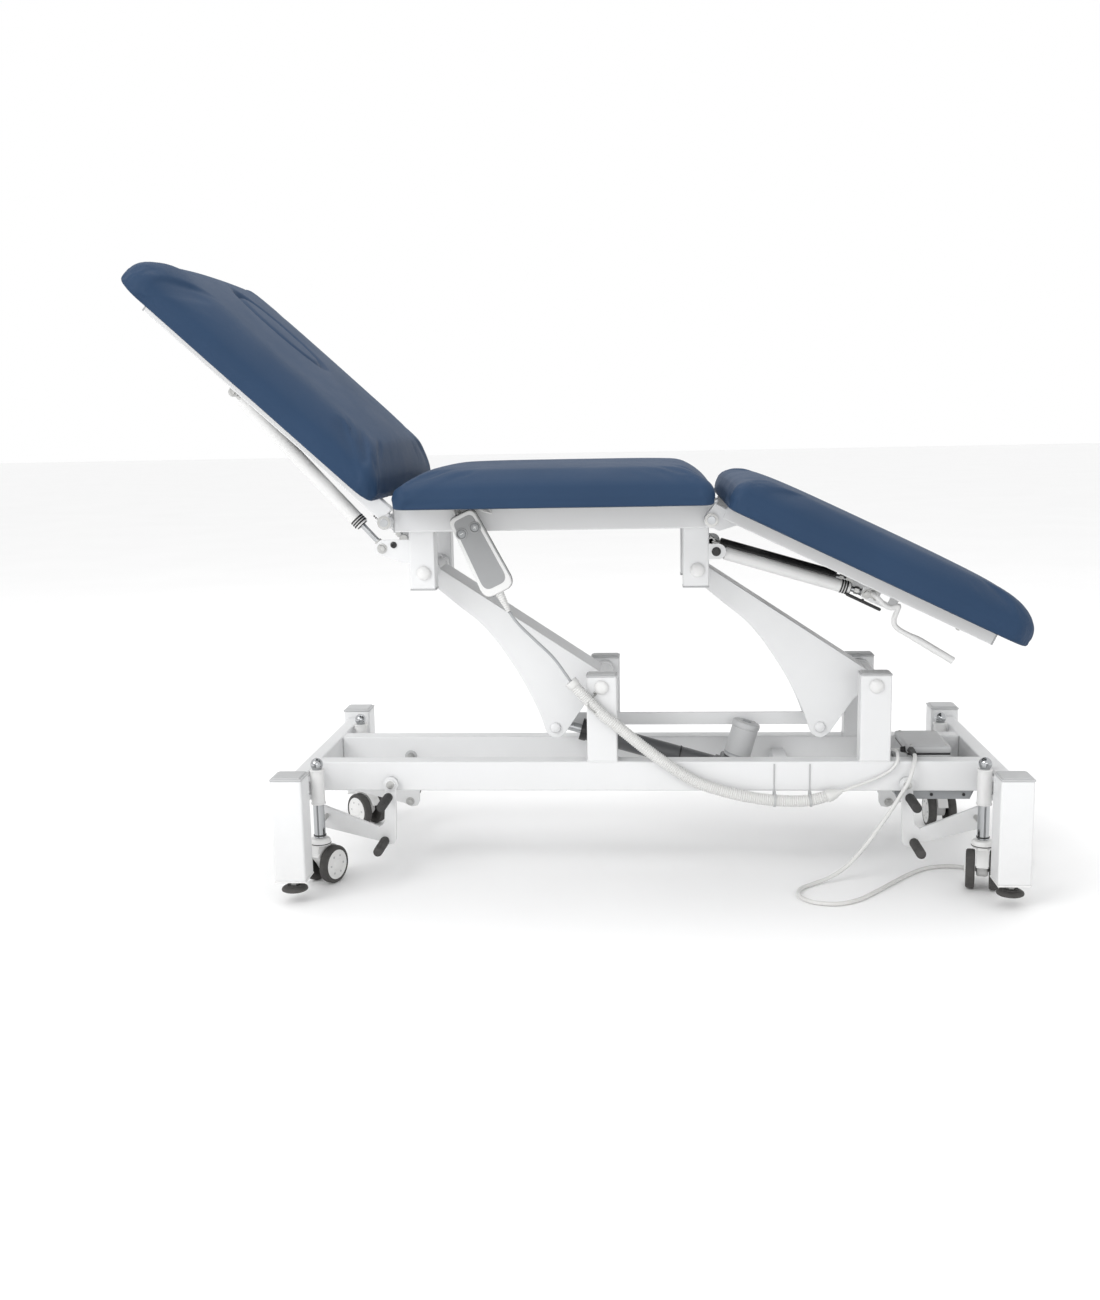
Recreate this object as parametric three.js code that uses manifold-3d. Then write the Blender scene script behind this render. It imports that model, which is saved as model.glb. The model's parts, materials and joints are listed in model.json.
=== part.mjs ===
// Three-section electric examination table: a welded base on retractable castors, a parallelogram lift
// driven by a linear actuator, and a seat section that carries a hinged backrest and a hinged leg rest.
// Millimetres, +Z up, floor at Z = 0. The head end is at -X, the side with the hand control at -Y.
import * as THREE from 'three';
import { mergeVertices } from 'three/addons/utils/BufferGeometryUtils.js';
import Module from 'manifold-3d';

// ---------------------------------------------------------------- driving dimensions
const BASE_X = 113.84;           // middle of the base, measured from the middle of the overall length

const POST = 60;                 // square corner posts
const BASE_HALF_LENGTH = 697;    // outer faces of the posts
const BASE_HALF_WIDTH = 340;
const POST_BOTTOM = 45;
const POST_TOP = 245;
const RAIL_BOTTOM = 167;         // 60 mm tall base tubes
const RAIL_TOP = 227;
const RAIL_INNER = 90;           // side rails, from and to, either side of the middle
const RAIL_OUTER = 130;
const BEAM_INNER = 657;          // end beams, 30 mm wide
const BEAM_OUTER = 687;
const PYLON_TOP = 400;
const PYLON_WIDTH = 60;

const LIFT_SPACING = 532;        // between the head arm and the foot arm
const LIFT_FOOT = [-84, 376.6];  // head arm's lower pivot, X and Z
const LIFT_ARM = 413.5;          // pivot to pivot
const LIFT_ANGLE = 33.7;         // arm above the horizontal, degrees
const CRANK = [27.2, -135.9];    // crank pin in the arm's own frame: along the arm, across it
const PIVOT_R = 10;              // pivot axles
const RUNNING = 0.4;             // clearance round axles

const SEAT_RAIL = [135, 165];    // seat side rails, from and to, either side of the middle
const SEAT_RAIL_BOTTOM = 689;
const SEAT_UNDER = 740;          // underside of the seat cushion
const SEAT_TOP = 810;
const SEAT_X = [-461, 138];
const PAD_HALF = 340;
const OUTER_RAIL = [170, 195];   // backrest and leg-rest side bars, outside the seat rails

const BACK_HINGE = [-490, 710];
const BACK_ANGLE = 42.6;         // backrest above the horizontal
const BACK_LENGTH = 645;         // hinge to head end
const BACK_UNDER = 30;           // underside and front face of the cushion above the hinge
const BACK_TOP = 103;
const FACE_HOLE = { x: -425, length: 220, width: 125 };

const LEG_HINGE = [128, 706];
const LEG_ANGLE = 25.9;          // leg rest below the horizontal
const LEG_LENGTH = 612;
const LEG_UNDER = 36;
const LEG_TOP = 112;

const CLEVIS = [240, 158];       // rear pin of the actuator
const ACTUATOR_ANGLE = 15.95;
const ACTUATOR_LENGTH = 438.9;   // pin to pin as it stands

const BACK_STRUT = { foot: [-509, 655], angle: 47.53, length: 416.2, y: 108 };
const STRUT_TAIL = 45;           // rod inside the tube as it stands
const LEG_STRUT = { foot: [140, 641], angle: 16.55, length: 298.4, y: 108 };

const CASTOR = [641, 203];       // castor stem, X and Y either side of the middle
const WHEEL_R = 37.5;
const TRAIL = 12;
const PEDAL_SHAFT = [508, 184];

const deg = Math.PI / 180;
const wasm = await Module();
wasm.setup();

// ---------------------------------------------------------------- shapes
function box(x0, x1, y0, y1, z0, z1) {
  return new THREE.BoxGeometry(x1 - x0, y1 - y0, z1 - z0)
    .translate((x0 + x1) / 2, (y0 + y1) / 2, (z0 + z1) / 2);
}

// A side outline in X and Z, given depth along Y.
function prism(outline, y0, y1, curveSegments = 6) {
  const corners = outline instanceof THREE.Shape ? null : outline.map(([x, z]) => new THREE.Vector2(x, z));
  const shape = corners ? new THREE.Shape(corners) : outline;
  const depth = y1 - y0;
  return new THREE.ExtrudeGeometry(shape, { depth, bevelEnabled: false, curveSegments })
    .rotateX(Math.PI / 2)
    .translate(0, y1, 0);
}

// A plan outline in X and Y, given height along Z.
function slab(shape, z0, z1, curveSegments = 8) {
  const depth = z1 - z0;
  return new THREE.ExtrudeGeometry(shape, { depth, bevelEnabled: false, curveSegments }).translate(0, 0, z0);
}

function roundedRect(x0, x1, y0, y1, radii) {
  const [a, b, c, d] = radii;    // radii at x0y0, x1y0, x1y1, x0y1
  const s = new THREE.Shape();
  s.moveTo(x0 + a, y0);
  s.lineTo(x1 - b, y0).absarc(x1 - b, y0 + b, b, -Math.PI / 2, 0, false);
  s.lineTo(x1, y1 - c).absarc(x1 - c, y1 - c, c, 0, Math.PI / 2, false);
  s.lineTo(x0 + d, y1).absarc(x0 + d, y1 - d, d, Math.PI / 2, Math.PI, false);
  s.lineTo(x0, y0 + a).absarc(x0 + a, y0 + a, a, Math.PI, Math.PI * 1.5, false);
  return s;
}

function barY(x, z, r, y0, y1, sides = 12) {
  return new THREE.CylinderGeometry(r, r, y1 - y0, sides).translate(x, (y0 + y1) / 2, z);
}

function barZ(x, y, r, z0, z1, sides = 14, rTop = r) {
  return new THREE.CylinderGeometry(rTop, r, z1 - z0, sides)
    .rotateX(Math.PI / 2)
    .translate(x, y, (z0 + z1) / 2);
}

function barX(x0, x1, r, z = 0, y = 0, sides = 12) {
  return new THREE.CylinderGeometry(r, r, Math.abs(x1 - x0), sides)
    .rotateZ(Math.PI / 2)
    .translate((x0 + x1) / 2, y, z);
}

function ball(x, y, z, r) {
  return new THREE.SphereGeometry(r, 12, 8).rotateX(Math.PI / 2).translate(x, y, z);
}

// A turned piece about the Y axis from a half outline of [radius, y].
function turned(profile, x, z, sides = 16) {
  const outline = profile.map(([r, y]) => new THREE.Vector2(r, y));
  return new THREE.LatheGeometry(outline, sides).translate(x, 0, z);
}

// A round tube or wire through a list of points.
function wire(points, r, sides = 8, steps = 40) {
  const stations = points.map((p) => new THREE.Vector3(...p));
  const path = new THREE.CatmullRomCurve3(stations, false, 'centripetal');
  const section = new THREE.Shape();
  for (let i = 0; i < sides; i++) {
    const a = (i / sides) * Math.PI * 2;
    section[i ? 'lineTo' : 'moveTo'](r * Math.cos(a), r * Math.sin(a));
  }
  return new THREE.ExtrudeGeometry(section, { extrudePath: path, steps, bevelEnabled: false });
}

// ---------------------------------------------------------------- joins and cuts
function solid(geometry) {
  const g = geometry.clone();
  g.deleteAttribute('normal');
  g.deleteAttribute('uv');
  const m = mergeVertices(g, 1e-3);
  return new wasm.Manifold(new wasm.Mesh({
    numProp: 3,
    vertProperties: new Float32Array(m.attributes.position.array),
    triVerts: new Uint32Array(m.index.array),
  }));
}

function surface(manifold) {
  const mesh = manifold.getMesh();
  const g = new THREE.BufferGeometry();
  g.setAttribute('position', new THREE.BufferAttribute(new Float32Array(mesh.vertProperties), 3));
  g.setIndex(new THREE.BufferAttribute(new Uint32Array(mesh.triVerts), 1));
  return g;
}

const join = (...pieces) => surface(pieces.map(solid).reduce((a, b) => a.add(b)));
const cut = (piece, ...tools) => surface(tools.map(solid).reduce((a, b) => a.subtract(b), solid(piece)));
const common = (a, b) => surface(solid(a).intersect(solid(b)));

// ---------------------------------------------------------------- finishes
const finish = (color, roughness, metalness = 0) => (
  () => new THREE.MeshStandardMaterial({ color, roughness, metalness })
);
const whitePowder = finish(0xe9eaea, 0.45);
const whitePlastic = finish(0xe4e5e4, 0.5);
const greyPlastic = finish(0x9fa1a3, 0.5);
const darkTube = finish(0x55585b, 0.5, 0.4);
const blackPlastic = finish(0x1c1d1f, 0.55);
const rubber = finish(0x19191a, 0.85);
const chromed = finish(0xb9bcc0, 0.12, 1);
const steel = finish(0x8d9094, 0.35, 1);
const blueVinyl = finish(0x3c5470, 0.55);

const table = new THREE.Group();
table.position.x = BASE_X;

function part(name, geometry, material, parent = table) {
  geometry.computeVertexNormals();
  const mesh = new THREE.Mesh(geometry, material());
  mesh.name = name;
  parent.add(mesh);
  return mesh;
}

// A group whose X and Z axes are turned about Y, for everything that slopes.
function sloped([x, z], degrees, y = 0) {
  const g = new THREE.Group();
  g.position.set(x, y, z);
  g.rotation.y = degrees * deg;
  table.add(g);
  return g;
}

// ---------------------------------------------------------------- base
const pylonX = [LIFT_FOOT[0], LIFT_FOOT[0] + LIFT_SPACING];

function sideRail(name, side) {
  const [y0, y1] = side < 0 ? [-RAIL_OUTER, -RAIL_INNER] : [RAIL_INNER, RAIL_OUTER];
  const tubes = [box(-BEAM_INNER, BEAM_INNER, y0, y1, RAIL_BOTTOM, RAIL_TOP)];
  for (const x of pylonX) {
    tubes.push(box(x - PYLON_WIDTH / 2, x + PYLON_WIDTH / 2, y0, y1, RAIL_TOP - 5, PYLON_TOP));
  }
  const holes = pylonX.map((x) => barY(x, LIFT_FOOT[1], PIVOT_R + RUNNING, y0 - 1, y1 + 1));
  for (const x of [-PEDAL_SHAFT[0], PEDAL_SHAFT[0]]) {
    holes.push(barY(x, PEDAL_SHAFT[1], 8 + RUNNING, y0 - 1, y1 + 1));
  }
  part(name, cut(join(...tubes), ...holes), whitePowder);
}

// The end beam carries two corner posts and two sleeves that guide the castor stems.
function endBeam(name, end) {
  const span = (a, b) => (end < 0 ? [-b, -a] : [a, b]);
  const inner = BASE_HALF_WIDTH - POST;
  const pieces = [box(...span(BEAM_INNER, BEAM_OUTER), -inner, inner, RAIL_BOTTOM, RAIL_TOP)];
  const holes = [];
  for (const side of [-1, 1]) {
    const y = side * CASTOR[1];
    const postY = side < 0 ? [-BASE_HALF_WIDTH, -inner] : [inner, BASE_HALF_WIDTH];
    pieces.push(box(...span(BASE_HALF_LENGTH - POST, BASE_HALF_LENGTH), ...postY, POST_BOTTOM, POST_TOP));
    pieces.push(barZ(end * CASTOR[0], y, 13.5, 163, 228));
    for (const z of [170, 207]) pieces.push(box(...span(645, BEAM_INNER + 1), y - 5, y + 5, z, z + 11));
    holes.push(barZ(end * CASTOR[0], y, 11.6, 160, 232));
    const [footX, footY] = [BASE_HALF_LENGTH - POST / 2, BASE_HALF_WIDTH - POST / 2];
    holes.push(barZ(end * footX, side * footY, 5.4, 40, 92, 12));
  }
  part(name, cut(join(...pieces), ...holes), whitePowder);
}

function levelingFoot(name, end, side) {
  const x = end * (BASE_HALF_LENGTH - POST / 2);
  const y = side * (BASE_HALF_WIDTH - POST / 2);
  const disc = barZ(x, y, 25, 22, 28, 20);
  const cone = barZ(x, y, 25, 28, 33, 20, 15);
  const screw = barZ(x, y, 5, 32, 76, 12);
  part(name, join(disc, cone, screw), rubber);
}

function buildBase() {
  sideRail('near_side_rail', -1);
  sideRail('far_side_rail', 1);
  endBeam('head_end_beam', -1);
  endBeam('foot_end_beam', 1);
  for (const [endName, end] of [['head', -1], ['foot', 1]]) {
    for (const [sideName, side] of [['near', -1], ['far', 1]]) {
      levelingFoot(`leveling_foot_${endName}_${sideName}`, end, side);
    }
  }

  // Cross tube with two lugs for the actuator's rear pin, and the pin itself.
  const lugs = [-1, 1].map((s) => box(CLEVIS[0] - 13, 264, s < 0 ? -22 : 15, s < 0 ? -15 : 22, 145, 200));
  const tube = box(262, 292, -RAIL_INNER, RAIL_INNER, 172, 202);
  const pin = barY(CLEVIS[0], CLEVIS[1], 6, -26, 26, 12);
  part('actuator_cross_tube', join(tube, ...lugs, pin), whitePowder);

  // Control box with its sheet-steel tray, which hangs under the side rails, and the cable gland.
  part('control_box', join(
    box(520, 606, -72, 72, 160, 243),
    prism([[486, 166.7], [494, 148], [634, 148], [642, 166.7]], -118, 118),
    barX(509, 521, 6, 232, -52, 12), barY(527, 235, 7, -94, -71, 12),
  ), greyPlastic);
}

// ---------------------------------------------------------------- lift
// Side outline of an arm in its own frame: X from the upper pivot (-LIFT_ARM) to the lower (0), Z across.
function armOutline() {
  const s = new THREE.Shape();
  s.moveTo(14, -8);
  s.quadraticCurveTo(16, 11, -4, 11);
  s.lineTo(-LIFT_ARM - 6, 11);
  s.absarc(-LIFT_ARM - 6, -4, 15, Math.PI / 2, Math.PI * 1.25, false);
  s.lineTo(-LIFT_ARM + 30, -26);
  const belly = [
    [-322, -33], [-272, -38], [-228, -50], [-197, -62], [-148, -84], [-104, -108], [-69, -130], [-46, -148],
  ];
  s.splineThru(belly.map(([x, z]) => new THREE.Vector2(x, z)));
  s.quadraticCurveTo(-30, -162, -14, -154);
  s.quadraticCurveTo(-4, -146, -4, -124);
  s.lineTo(-3, -50);
  s.quadraticCurveTo(4, -26, 14, -8);
  return s;
}

function liftArm(name, shift) {
  const frame = sloped([LIFT_FOOT[0] + shift, LIFT_FOOT[1]], LIFT_ANGLE);
  const [cx, cz] = [-CRANK[0], CRANK[1]];
  const body = join(
    prism(armOutline(), -50, -44, 3), prism(armOutline(), 44, 50, 3),
    box(-LIFT_ARM + 18, -18, -44.5, 44.5, 5, 11),
    barY(0, 0, 18, -88, 88, 12), barY(-LIFT_ARM, 0, 18, -88, 88, 12),
    barY(cx, cz, 8, -50, -16), barY(cx, cz, 11, -57, -49, 6),
    barY(cx, cz, 6, 28, 50), barY(cx, cz, 11, 49, 57, 6),
  );
  const bores = [0, -LIFT_ARM].map((x) => barY(x, 0, PIVOT_R + RUNNING, -90, 90));
  part(name, cut(body, ...bores), whitePowder, frame);
}

// Pivot axle with a domed cap outside each tube it passes through.
function axle(name, x, z) {
  const dome = [[PIVOT_R, 130.3], [13.5, 130.3], [13.5, 134], [9, 138], [0, 139.5]];
  const cap = (s) => dome.map(([r, y]) => [r, s * y]);
  part(name, turned([...cap(-1).reverse(), ...cap(1)], x, z, 12), whitePlastic);
}

function buildLift() {
  liftArm('head_lift_arm', 0);
  liftArm('foot_lift_arm', LIFT_SPACING);
  const reach = [-LIFT_ARM * Math.cos(LIFT_ANGLE * deg), LIFT_ARM * Math.sin(LIFT_ANGLE * deg)];
  axle('head_arm_lower_axle', pylonX[0], LIFT_FOOT[1]);
  axle('foot_arm_lower_axle', pylonX[1], LIFT_FOOT[1]);
  axle('head_arm_upper_axle', pylonX[0] + reach[0], LIFT_FOOT[1] + reach[1]);
  axle('foot_arm_upper_axle', pylonX[1] + reach[0], LIFT_FOOT[1] + reach[1]);

  // Crank pin of the head arm as it stands, and the bar that ties both cranks together.
  const c = Math.cos(LIFT_ANGLE * deg);
  const s = Math.sin(LIFT_ANGLE * deg);
  const pin = [LIFT_FOOT[0] - CRANK[0] * c + CRANK[1] * s, LIFT_FOOT[1] + CRANK[0] * s + CRANK[1] * c];
  const eyes = [pin[0], pin[0] + LIFT_SPACING];
  part('tie_bar', cut(
    join(box(eyes[0], eyes[1], 31, 39, pin[1] - 11, pin[1] + 11),
      ...eyes.map((x) => barY(x, pin[1], 15, 31, 39))),
    ...eyes.map((x) => barY(x, pin[1], 6 + RUNNING, 30, 40)),
  ), whitePowder);

  // Linear actuator: gearbox and outer tube, motor standing on the gearbox, and the rod with its eye.
  const frame = sloped(CLEVIS, ACTUATOR_ANGLE);
  part('actuator_housing', cut(
    join(box(-95, -28, -26, 26, -29, 30), box(-30, 0, -12, 12, -13, 13), barY(0, 0, 13, -12, 12),
      barX(-385, -94, 20.5)),
    barY(0, 0, 6 + RUNNING, -13, 13), barX(-386, -255, PIVOT_R + 0.8),
  ), darkTube, frame);
  part('actuator_motor', join(barZ(-63.4, 0, 27, 30.3, 96, 22), barZ(-63.4, 0, 28.5, 95, 107, 22)),
    greyPlastic, frame);
  part('actuator_rod', cut(
    join(barX(-ACTUATOR_LENGTH + 6, -296, PIVOT_R), barY(-ACTUATOR_LENGTH, 0, 15, -12, 12)),
    barY(-ACTUATOR_LENGTH, 0, 8.4, -13, 13),
  ), steel, frame);
}

// ---------------------------------------------------------------- seat section
function buildSeat() {
  const legs = pylonX.map((x) => x - LIFT_ARM * Math.cos(LIFT_ANGLE * deg) - 3);
  const pivotZ = LIFT_FOOT[1] + LIFT_ARM * Math.sin(LIFT_ANGLE * deg);
  const pieces = [];
  const holes = [];
  for (const side of [-1, 1]) {
    const span = (a, b) => (side < 0 ? [-b, -a] : [a, b]);
    pieces.push(box(-478, 142, ...span(...SEAT_RAIL), SEAT_RAIL_BOTTOM, SEAT_UNDER - 0.3));
    pieces.push(box(BACK_HINGE[0] - 14, -474, ...span(139, 161), BACK_HINGE[1] - 14, BACK_HINGE[1] + 14));
    for (const x of legs) pieces.push(box(x - 25, x + 25, ...span(RAIL_INNER, RAIL_OUTER), 572, 705));
    // Plates that take the lower ends of the gas struts.
    pieces.push(prism([[-522, 662], [-512, 672], [-450, 672], [-450, 627], [-470, 627], [-522, 646]],
      ...span(125, 129)));
    pieces.push(prism([[120, 626], [120, 656], [144, 656], [154, 646], [154, 636], [144, 626]],
      ...span(125, 129)));
    pieces.push(barY(BACK_STRUT.foot[0], BACK_STRUT.foot[1], 8, ...span(129, 134), 6),
      barY(LEG_STRUT.foot[0], LEG_STRUT.foot[1], 5, ...span(102, 126), 12));
    pieces.push(barY(LEG_STRUT.foot[0], LEG_STRUT.foot[1], 8, ...span(129, 134), 6));
  }
  for (const x of legs) {
    pieces.push(box(x - 25, x + 25, -SEAT_RAIL[0] - 1, SEAT_RAIL[0] + 1, 699, SEAT_UNDER - 0.3));
    holes.push(barY(x + 3, pivotZ, PIVOT_R + RUNNING, -140, -80));
    holes.push(barY(x + 3, pivotZ, PIVOT_R + RUNNING, 80, 140));
  }
  for (const [x, z] of [BACK_HINGE, LEG_HINGE]) holes.push(barY(x, z, 8 + RUNNING, -170, 170));
  part('seat_frame', cut(join(...pieces), ...holes), whitePowder);

  for (const [name, [x, z]] of [['back_hinge_rod', BACK_HINGE], ['leg_hinge_rod', LEG_HINGE]])
    part(name, turned([[0, -201], [6, -201], [8, -199], [8, 199], [6, 201], [0, 201]], x, z, 20), steel);

  part('seat_pad', common(
    prism(roundedRect(SEAT_X[0], SEAT_X[1], SEAT_UNDER, SEAT_TOP, [24, 14, 42, 40]), -PAD_HALF, PAD_HALF),
    slab(roundedRect(SEAT_X[0], SEAT_X[1], -PAD_HALF, PAD_HALF, [24, 24, 24, 24]), SEAT_UNDER - 5,
      SEAT_TOP + 5, 5),
  ), blueVinyl);
}

// ---------------------------------------------------------------- gas struts
// In a strut's own frame X runs from its lower pin towards the far end; dir is that direction.
function strut(name, spec, side, dir, split, tubeR, tubeAtFoot, tubeFinish) {
  const frame = sloped(spec.foot, spec.angle, side * spec.y);
  const X = (a, b) => [dir * a, dir * b];
  const eye = (s, hole) => {
    const neck = barX(...X(Math.min(s + 2, spec.length - 24), Math.min(s + 24, spec.length - 2)), 6);
    return cut(join(barY(dir * s, 0, 9, -6, 6), neck), barY(dir * s, 0, hole, -7, 7));
  };
  const [a, b] = tubeAtFoot ? [18, split] : [split, spec.length - 18];
  const bore = tubeAtFoot ? X(split - STRUT_TAIL - 5, split + 1) : X(split - 1, split + STRUT_TAIL + 45);
  const tubeEnd = tubeAtFoot ? 0 : spec.length;
  const rodEnd = tubeAtFoot ? spec.length : 0;
  const tube = join(barX(...X(a, b), tubeR, 0, 0, 14), eye(tubeEnd, 5.4));
  part(`${name}_cylinder`, cut(tube, barX(...bore, 6.2)), tubeFinish, frame);
  const rodSpan = tubeAtFoot ? X(split - STRUT_TAIL, rodEnd - 6) : X(6, split + STRUT_TAIL);
  part(`${name}_rod`, join(barX(...rodSpan, 5.5), barY(dir * rodEnd, 0, 9, -6, 6)), steel, frame);
}

// ---------------------------------------------------------------- backrest
function buildBack() {
  const frame = sloped(BACK_HINGE, BACK_ANGLE);
  const pieces = [];
  const holes = [];
  for (const side of [-1, 1]) {
    const span = (a, b) => (side < 0 ? [-b, -a] : [a, b]);
    pieces.push(box(-600, -2, ...span(...OUTER_RAIL), -2, BACK_UNDER - 0.3),
      barY(0, 0, 14, ...span(...OUTER_RAIL)));
    pieces.push(box(-12, 0, ...span(...OUTER_RAIL), -12, 20));
    pieces.push(box(-401, -382, ...span(120, 125), -27, 6),
      barY(-391.4, -17.6, 5, ...span(102, 124), 12));
    holes.push(barY(0, 0, 8 + RUNNING, ...span(160, 200)));
  }
  for (const x of [-150, -396, -585]) pieces.push(box(x, x + 25, -171, 171, 4.7, BACK_UNDER - 0.3));
  part('back_frame', cut(join(...pieces), ...holes), whitePowder, frame);

  // Cushion: the lower end is bevelled so that it clears the seat cushion when the backrest comes up.
  const L = -BACK_LENGTH;
  const side = new THREE.Shape();
  side.moveTo(-36, BACK_UNDER);
  side.lineTo(-40, 48).lineTo(-54, 60).lineTo(-64, 78).lineTo(-70, BACK_TOP);
  side.lineTo(L + 46, BACK_TOP);
  side.quadraticCurveTo(L, BACK_TOP, L, 62);
  side.quadraticCurveTo(L, BACK_UNDER, L + 26, BACK_UNDER);
  const hole = (grow) => {
    const s = new THREE.Shape();
    const [rx, ry] = [FACE_HOLE.length / 2 + grow, FACE_HOLE.width / 2 + grow];
    s.absellipse(FACE_HOLE.x, 0, rx, ry, 0, Math.PI * 2, false);
    return s;
  };
  part('back_pad', cut(common(
    prism(side, -PAD_HALF, PAD_HALF),
    slab(roundedRect(L, 0, -PAD_HALF, PAD_HALF, [70, 24, 24, 70]), 0, 130, 8),
  ), slab(hole(0), 0, 130, 12)), blueVinyl, frame);
  part('face_hole_plug', slab(hole(-0.8), BACK_UNDER + 2, BACK_TOP - 1, 12), blueVinyl, frame);

  for (const [name, side] of [['near', -1], ['far', 1]]) {
    strut(`back_strut_${name}`, BACK_STRUT, side, -1, 62, 14, false, whitePlastic);
  }
}

// ---------------------------------------------------------------- leg rest
function buildLegRest() {
  const frame = sloped(LEG_HINGE, LEG_ANGLE);
  // Far pin of the strut, in the leg rest's own frame.
  const tilt = (LEG_STRUT.angle - LEG_ANGLE) * deg;
  const c = Math.cos(LEG_ANGLE * deg);
  const s = Math.sin(LEG_ANGLE * deg);
  const [dx, dz] = [LEG_STRUT.foot[0] - LEG_HINGE[0], LEG_STRUT.foot[1] - LEG_HINGE[1]];
  const pin = [
    dx * c - dz * s + LEG_STRUT.length * Math.cos(tilt),
    dx * s + dz * c - LEG_STRUT.length * Math.sin(tilt),
  ];
  const pieces = [];
  const holes = [];
  for (const side of [-1, 1]) {
    const span = (a, b) => (side < 0 ? [-b, -a] : [a, b]);
    pieces.push(box(16, 572, ...span(...OUTER_RAIL), LEG_UNDER - 25, LEG_UNDER - 0.3));
    pieces.push(prism([[-13, 13], [-13, -7], [-7, -13], [20, -13], [48, 12], [48, 30], [-8, 30]],
      ...span(...OUTER_RAIL)));
    // Hanger plate for the strut's far end, bent up to the cross tube.
    pieces.push(prism([
      [pin[0] - 12, pin[1] + 10], [pin[0] - 8, pin[1] - 9], [pin[0] + 12, pin[1] - 11],
      [pin[0] + 54, pin[1] - 9], [pin[0] + 62, 12], [pin[0] + 6, 12],
    ], ...span(125, 129)));
    holes.push(barY(0, 0, 8 + RUNNING, ...span(160, 200)),
      box(pin[0] + 24, pin[0] + 44, ...span(120, 134), pin[1] + 2, pin[1] + 20));
  }
  for (const x of [110, pin[0] + 12, 545]) {
    pieces.push(box(x, x + 25, -171, 171, LEG_UNDER - 25, LEG_UNDER - 0.3));
  }
  part('leg_frame', cut(join(...pieces), ...holes), whitePowder, frame);

  const L = LEG_LENGTH;
  const side = new THREE.Shape();
  side.moveTo(14, LEG_UNDER);
  side.lineTo(L - 24, LEG_UNDER).quadraticCurveTo(L, LEG_UNDER, L, LEG_UNDER + 22);
  side.quadraticCurveTo(L - 4, LEG_TOP - 8, L - 100, LEG_TOP);
  side.lineTo(84, LEG_TOP).quadraticCurveTo(22, LEG_TOP, 14, LEG_TOP - 40);
  part('leg_pad', common(
    prism(side, -PAD_HALF, PAD_HALF),
    slab(roundedRect(10, L, -PAD_HALF, PAD_HALF, [20, 70, 70, 20]), 0, 150, 8),
  ), blueVinyl, frame);

  strut('leg_strut_near', LEG_STRUT, -1, 1, 268, 12.5, true, whitePlastic);
  strut('leg_strut_far', LEG_STRUT, 1, 1, 268, 12.5, true, blackPlastic);

  // Release handle: a bent rod on the near side of the leg rest that turns about its first leg.
  const rod = [
    [10, -129.6, 6], [10, -138, 6], [18, -147, 3], [34, -149, -3], [50, -150, -3], [60, -150, 6],
    [62, -150, -4], [64, -150, -20], [72, -150, -31], [130, -150, -37], [200, -150, -44],
  ];
  const route = rod.map(([x, y, z]) => [pin[0] + x, y, pin[1] + z]);
  part('release_handle', wire(route, 5, 8, 36), whitePlastic, frame);
}

// ---------------------------------------------------------------- hand control and cables
const HANDSET = { at: [-308, -186, 650], tilt: -25.7 };

function buildHandset() {
  const frame = new THREE.Group();
  frame.position.set(...HANDSET.at);
  frame.rotation.y = HANDSET.tilt * deg;
  table.add(frame);
  const s = new THREE.Shape();
  s.moveTo(-13, 83);
  s.lineTo(13, 83).quadraticCurveTo(26, 83, 27, 70);
  s.lineTo(32, -62).quadraticCurveTo(32, -84, 12, -84);
  s.lineTo(-12, -84).quadraticCurveTo(-32, -84, -32, -62);
  s.lineTo(-27, 70).quadraticCurveTo(-26, 83, -13, 83);
  const buttons = [['up_button', 14], ['down_button', -14]];
  const shell = join(prism(s, -13, 13, 5), barZ(-3, 0, 5, -124, -83, 16, 9));
  const wells = buttons.map(([, x]) => barY(x, 48, 8.5, -14, -8));
  part('handset_shell', cut(shell, ...wells), whitePlastic, frame);
  for (const [name, x] of buttons) part(name, barY(x, 48, 8, -15.5, -10.5, 20), greyPlastic, frame);
}

const HANDSET_CABLE = [
  [-256.4, -186, 535.6], [-240, -182, 512], [-209, -171, 478], [-176, -158, 442],
  [-152, -149, 406], [-141.5, -146, 389.5],
];
const CONDUIT = [
  [-141, -146, 389], [-116, -146, 361], [-87, -146, 330.5], [-48, -146, 298],
  [10, -146, 250], [68, -146, 209], [107, -146, 187], [147, -146, 173],
  [205, -146, 159], [263, -146, 152], [322, -146, 153], [364, -146, 165],
];
const BOX_LEAD = [
  [355, -146, 162], [400, -143, 177], [438, -138, 190], [466, -136, 203],
  [482, -137, 216], [489, -136, 228], [492, -127, 237], [493, -112, 241],
  [492, -92, 240], [490, -73, 236.5], [493, -58, 233.5], [501, -52.6, 232.2],
  [508.3, -52, 232],
];
const POWER_CORD = [
  [527, -94.4, 235], [527, -104, 235], [526.5, -116, 235.2], [524.5, -129.5, 232.6],
  [521, -140.5, 225.5], [516.5, -149.5, 214], [511, -156, 200], [503, -159, 184],
  [491, -161, 164], [475, -163, 138], [456, -165, 110], [437, -167, 82],
  [415, -171, 55], [389, -178, 29], [356, -190, 11], [322, -209, 4.3],
  [296, -237, 4.3], [288, -275, 4.3], [309, -309, 4.3], [351, -319, 4.3],
  [393, -298, 4.3], [432, -254, 4.3], [474, -200, 4.3], [516, -148, 4.3],
  [558, -110, 4.3], [601, -98.4, 4.3], [645, -110.2, 4.3], [689.6, -122.2, 4.3],
];
// Tied hank, its length turned from X
const HANK = { at: [731, -58], turn: 75, length: 152, width: 72, height: 17 };

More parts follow.
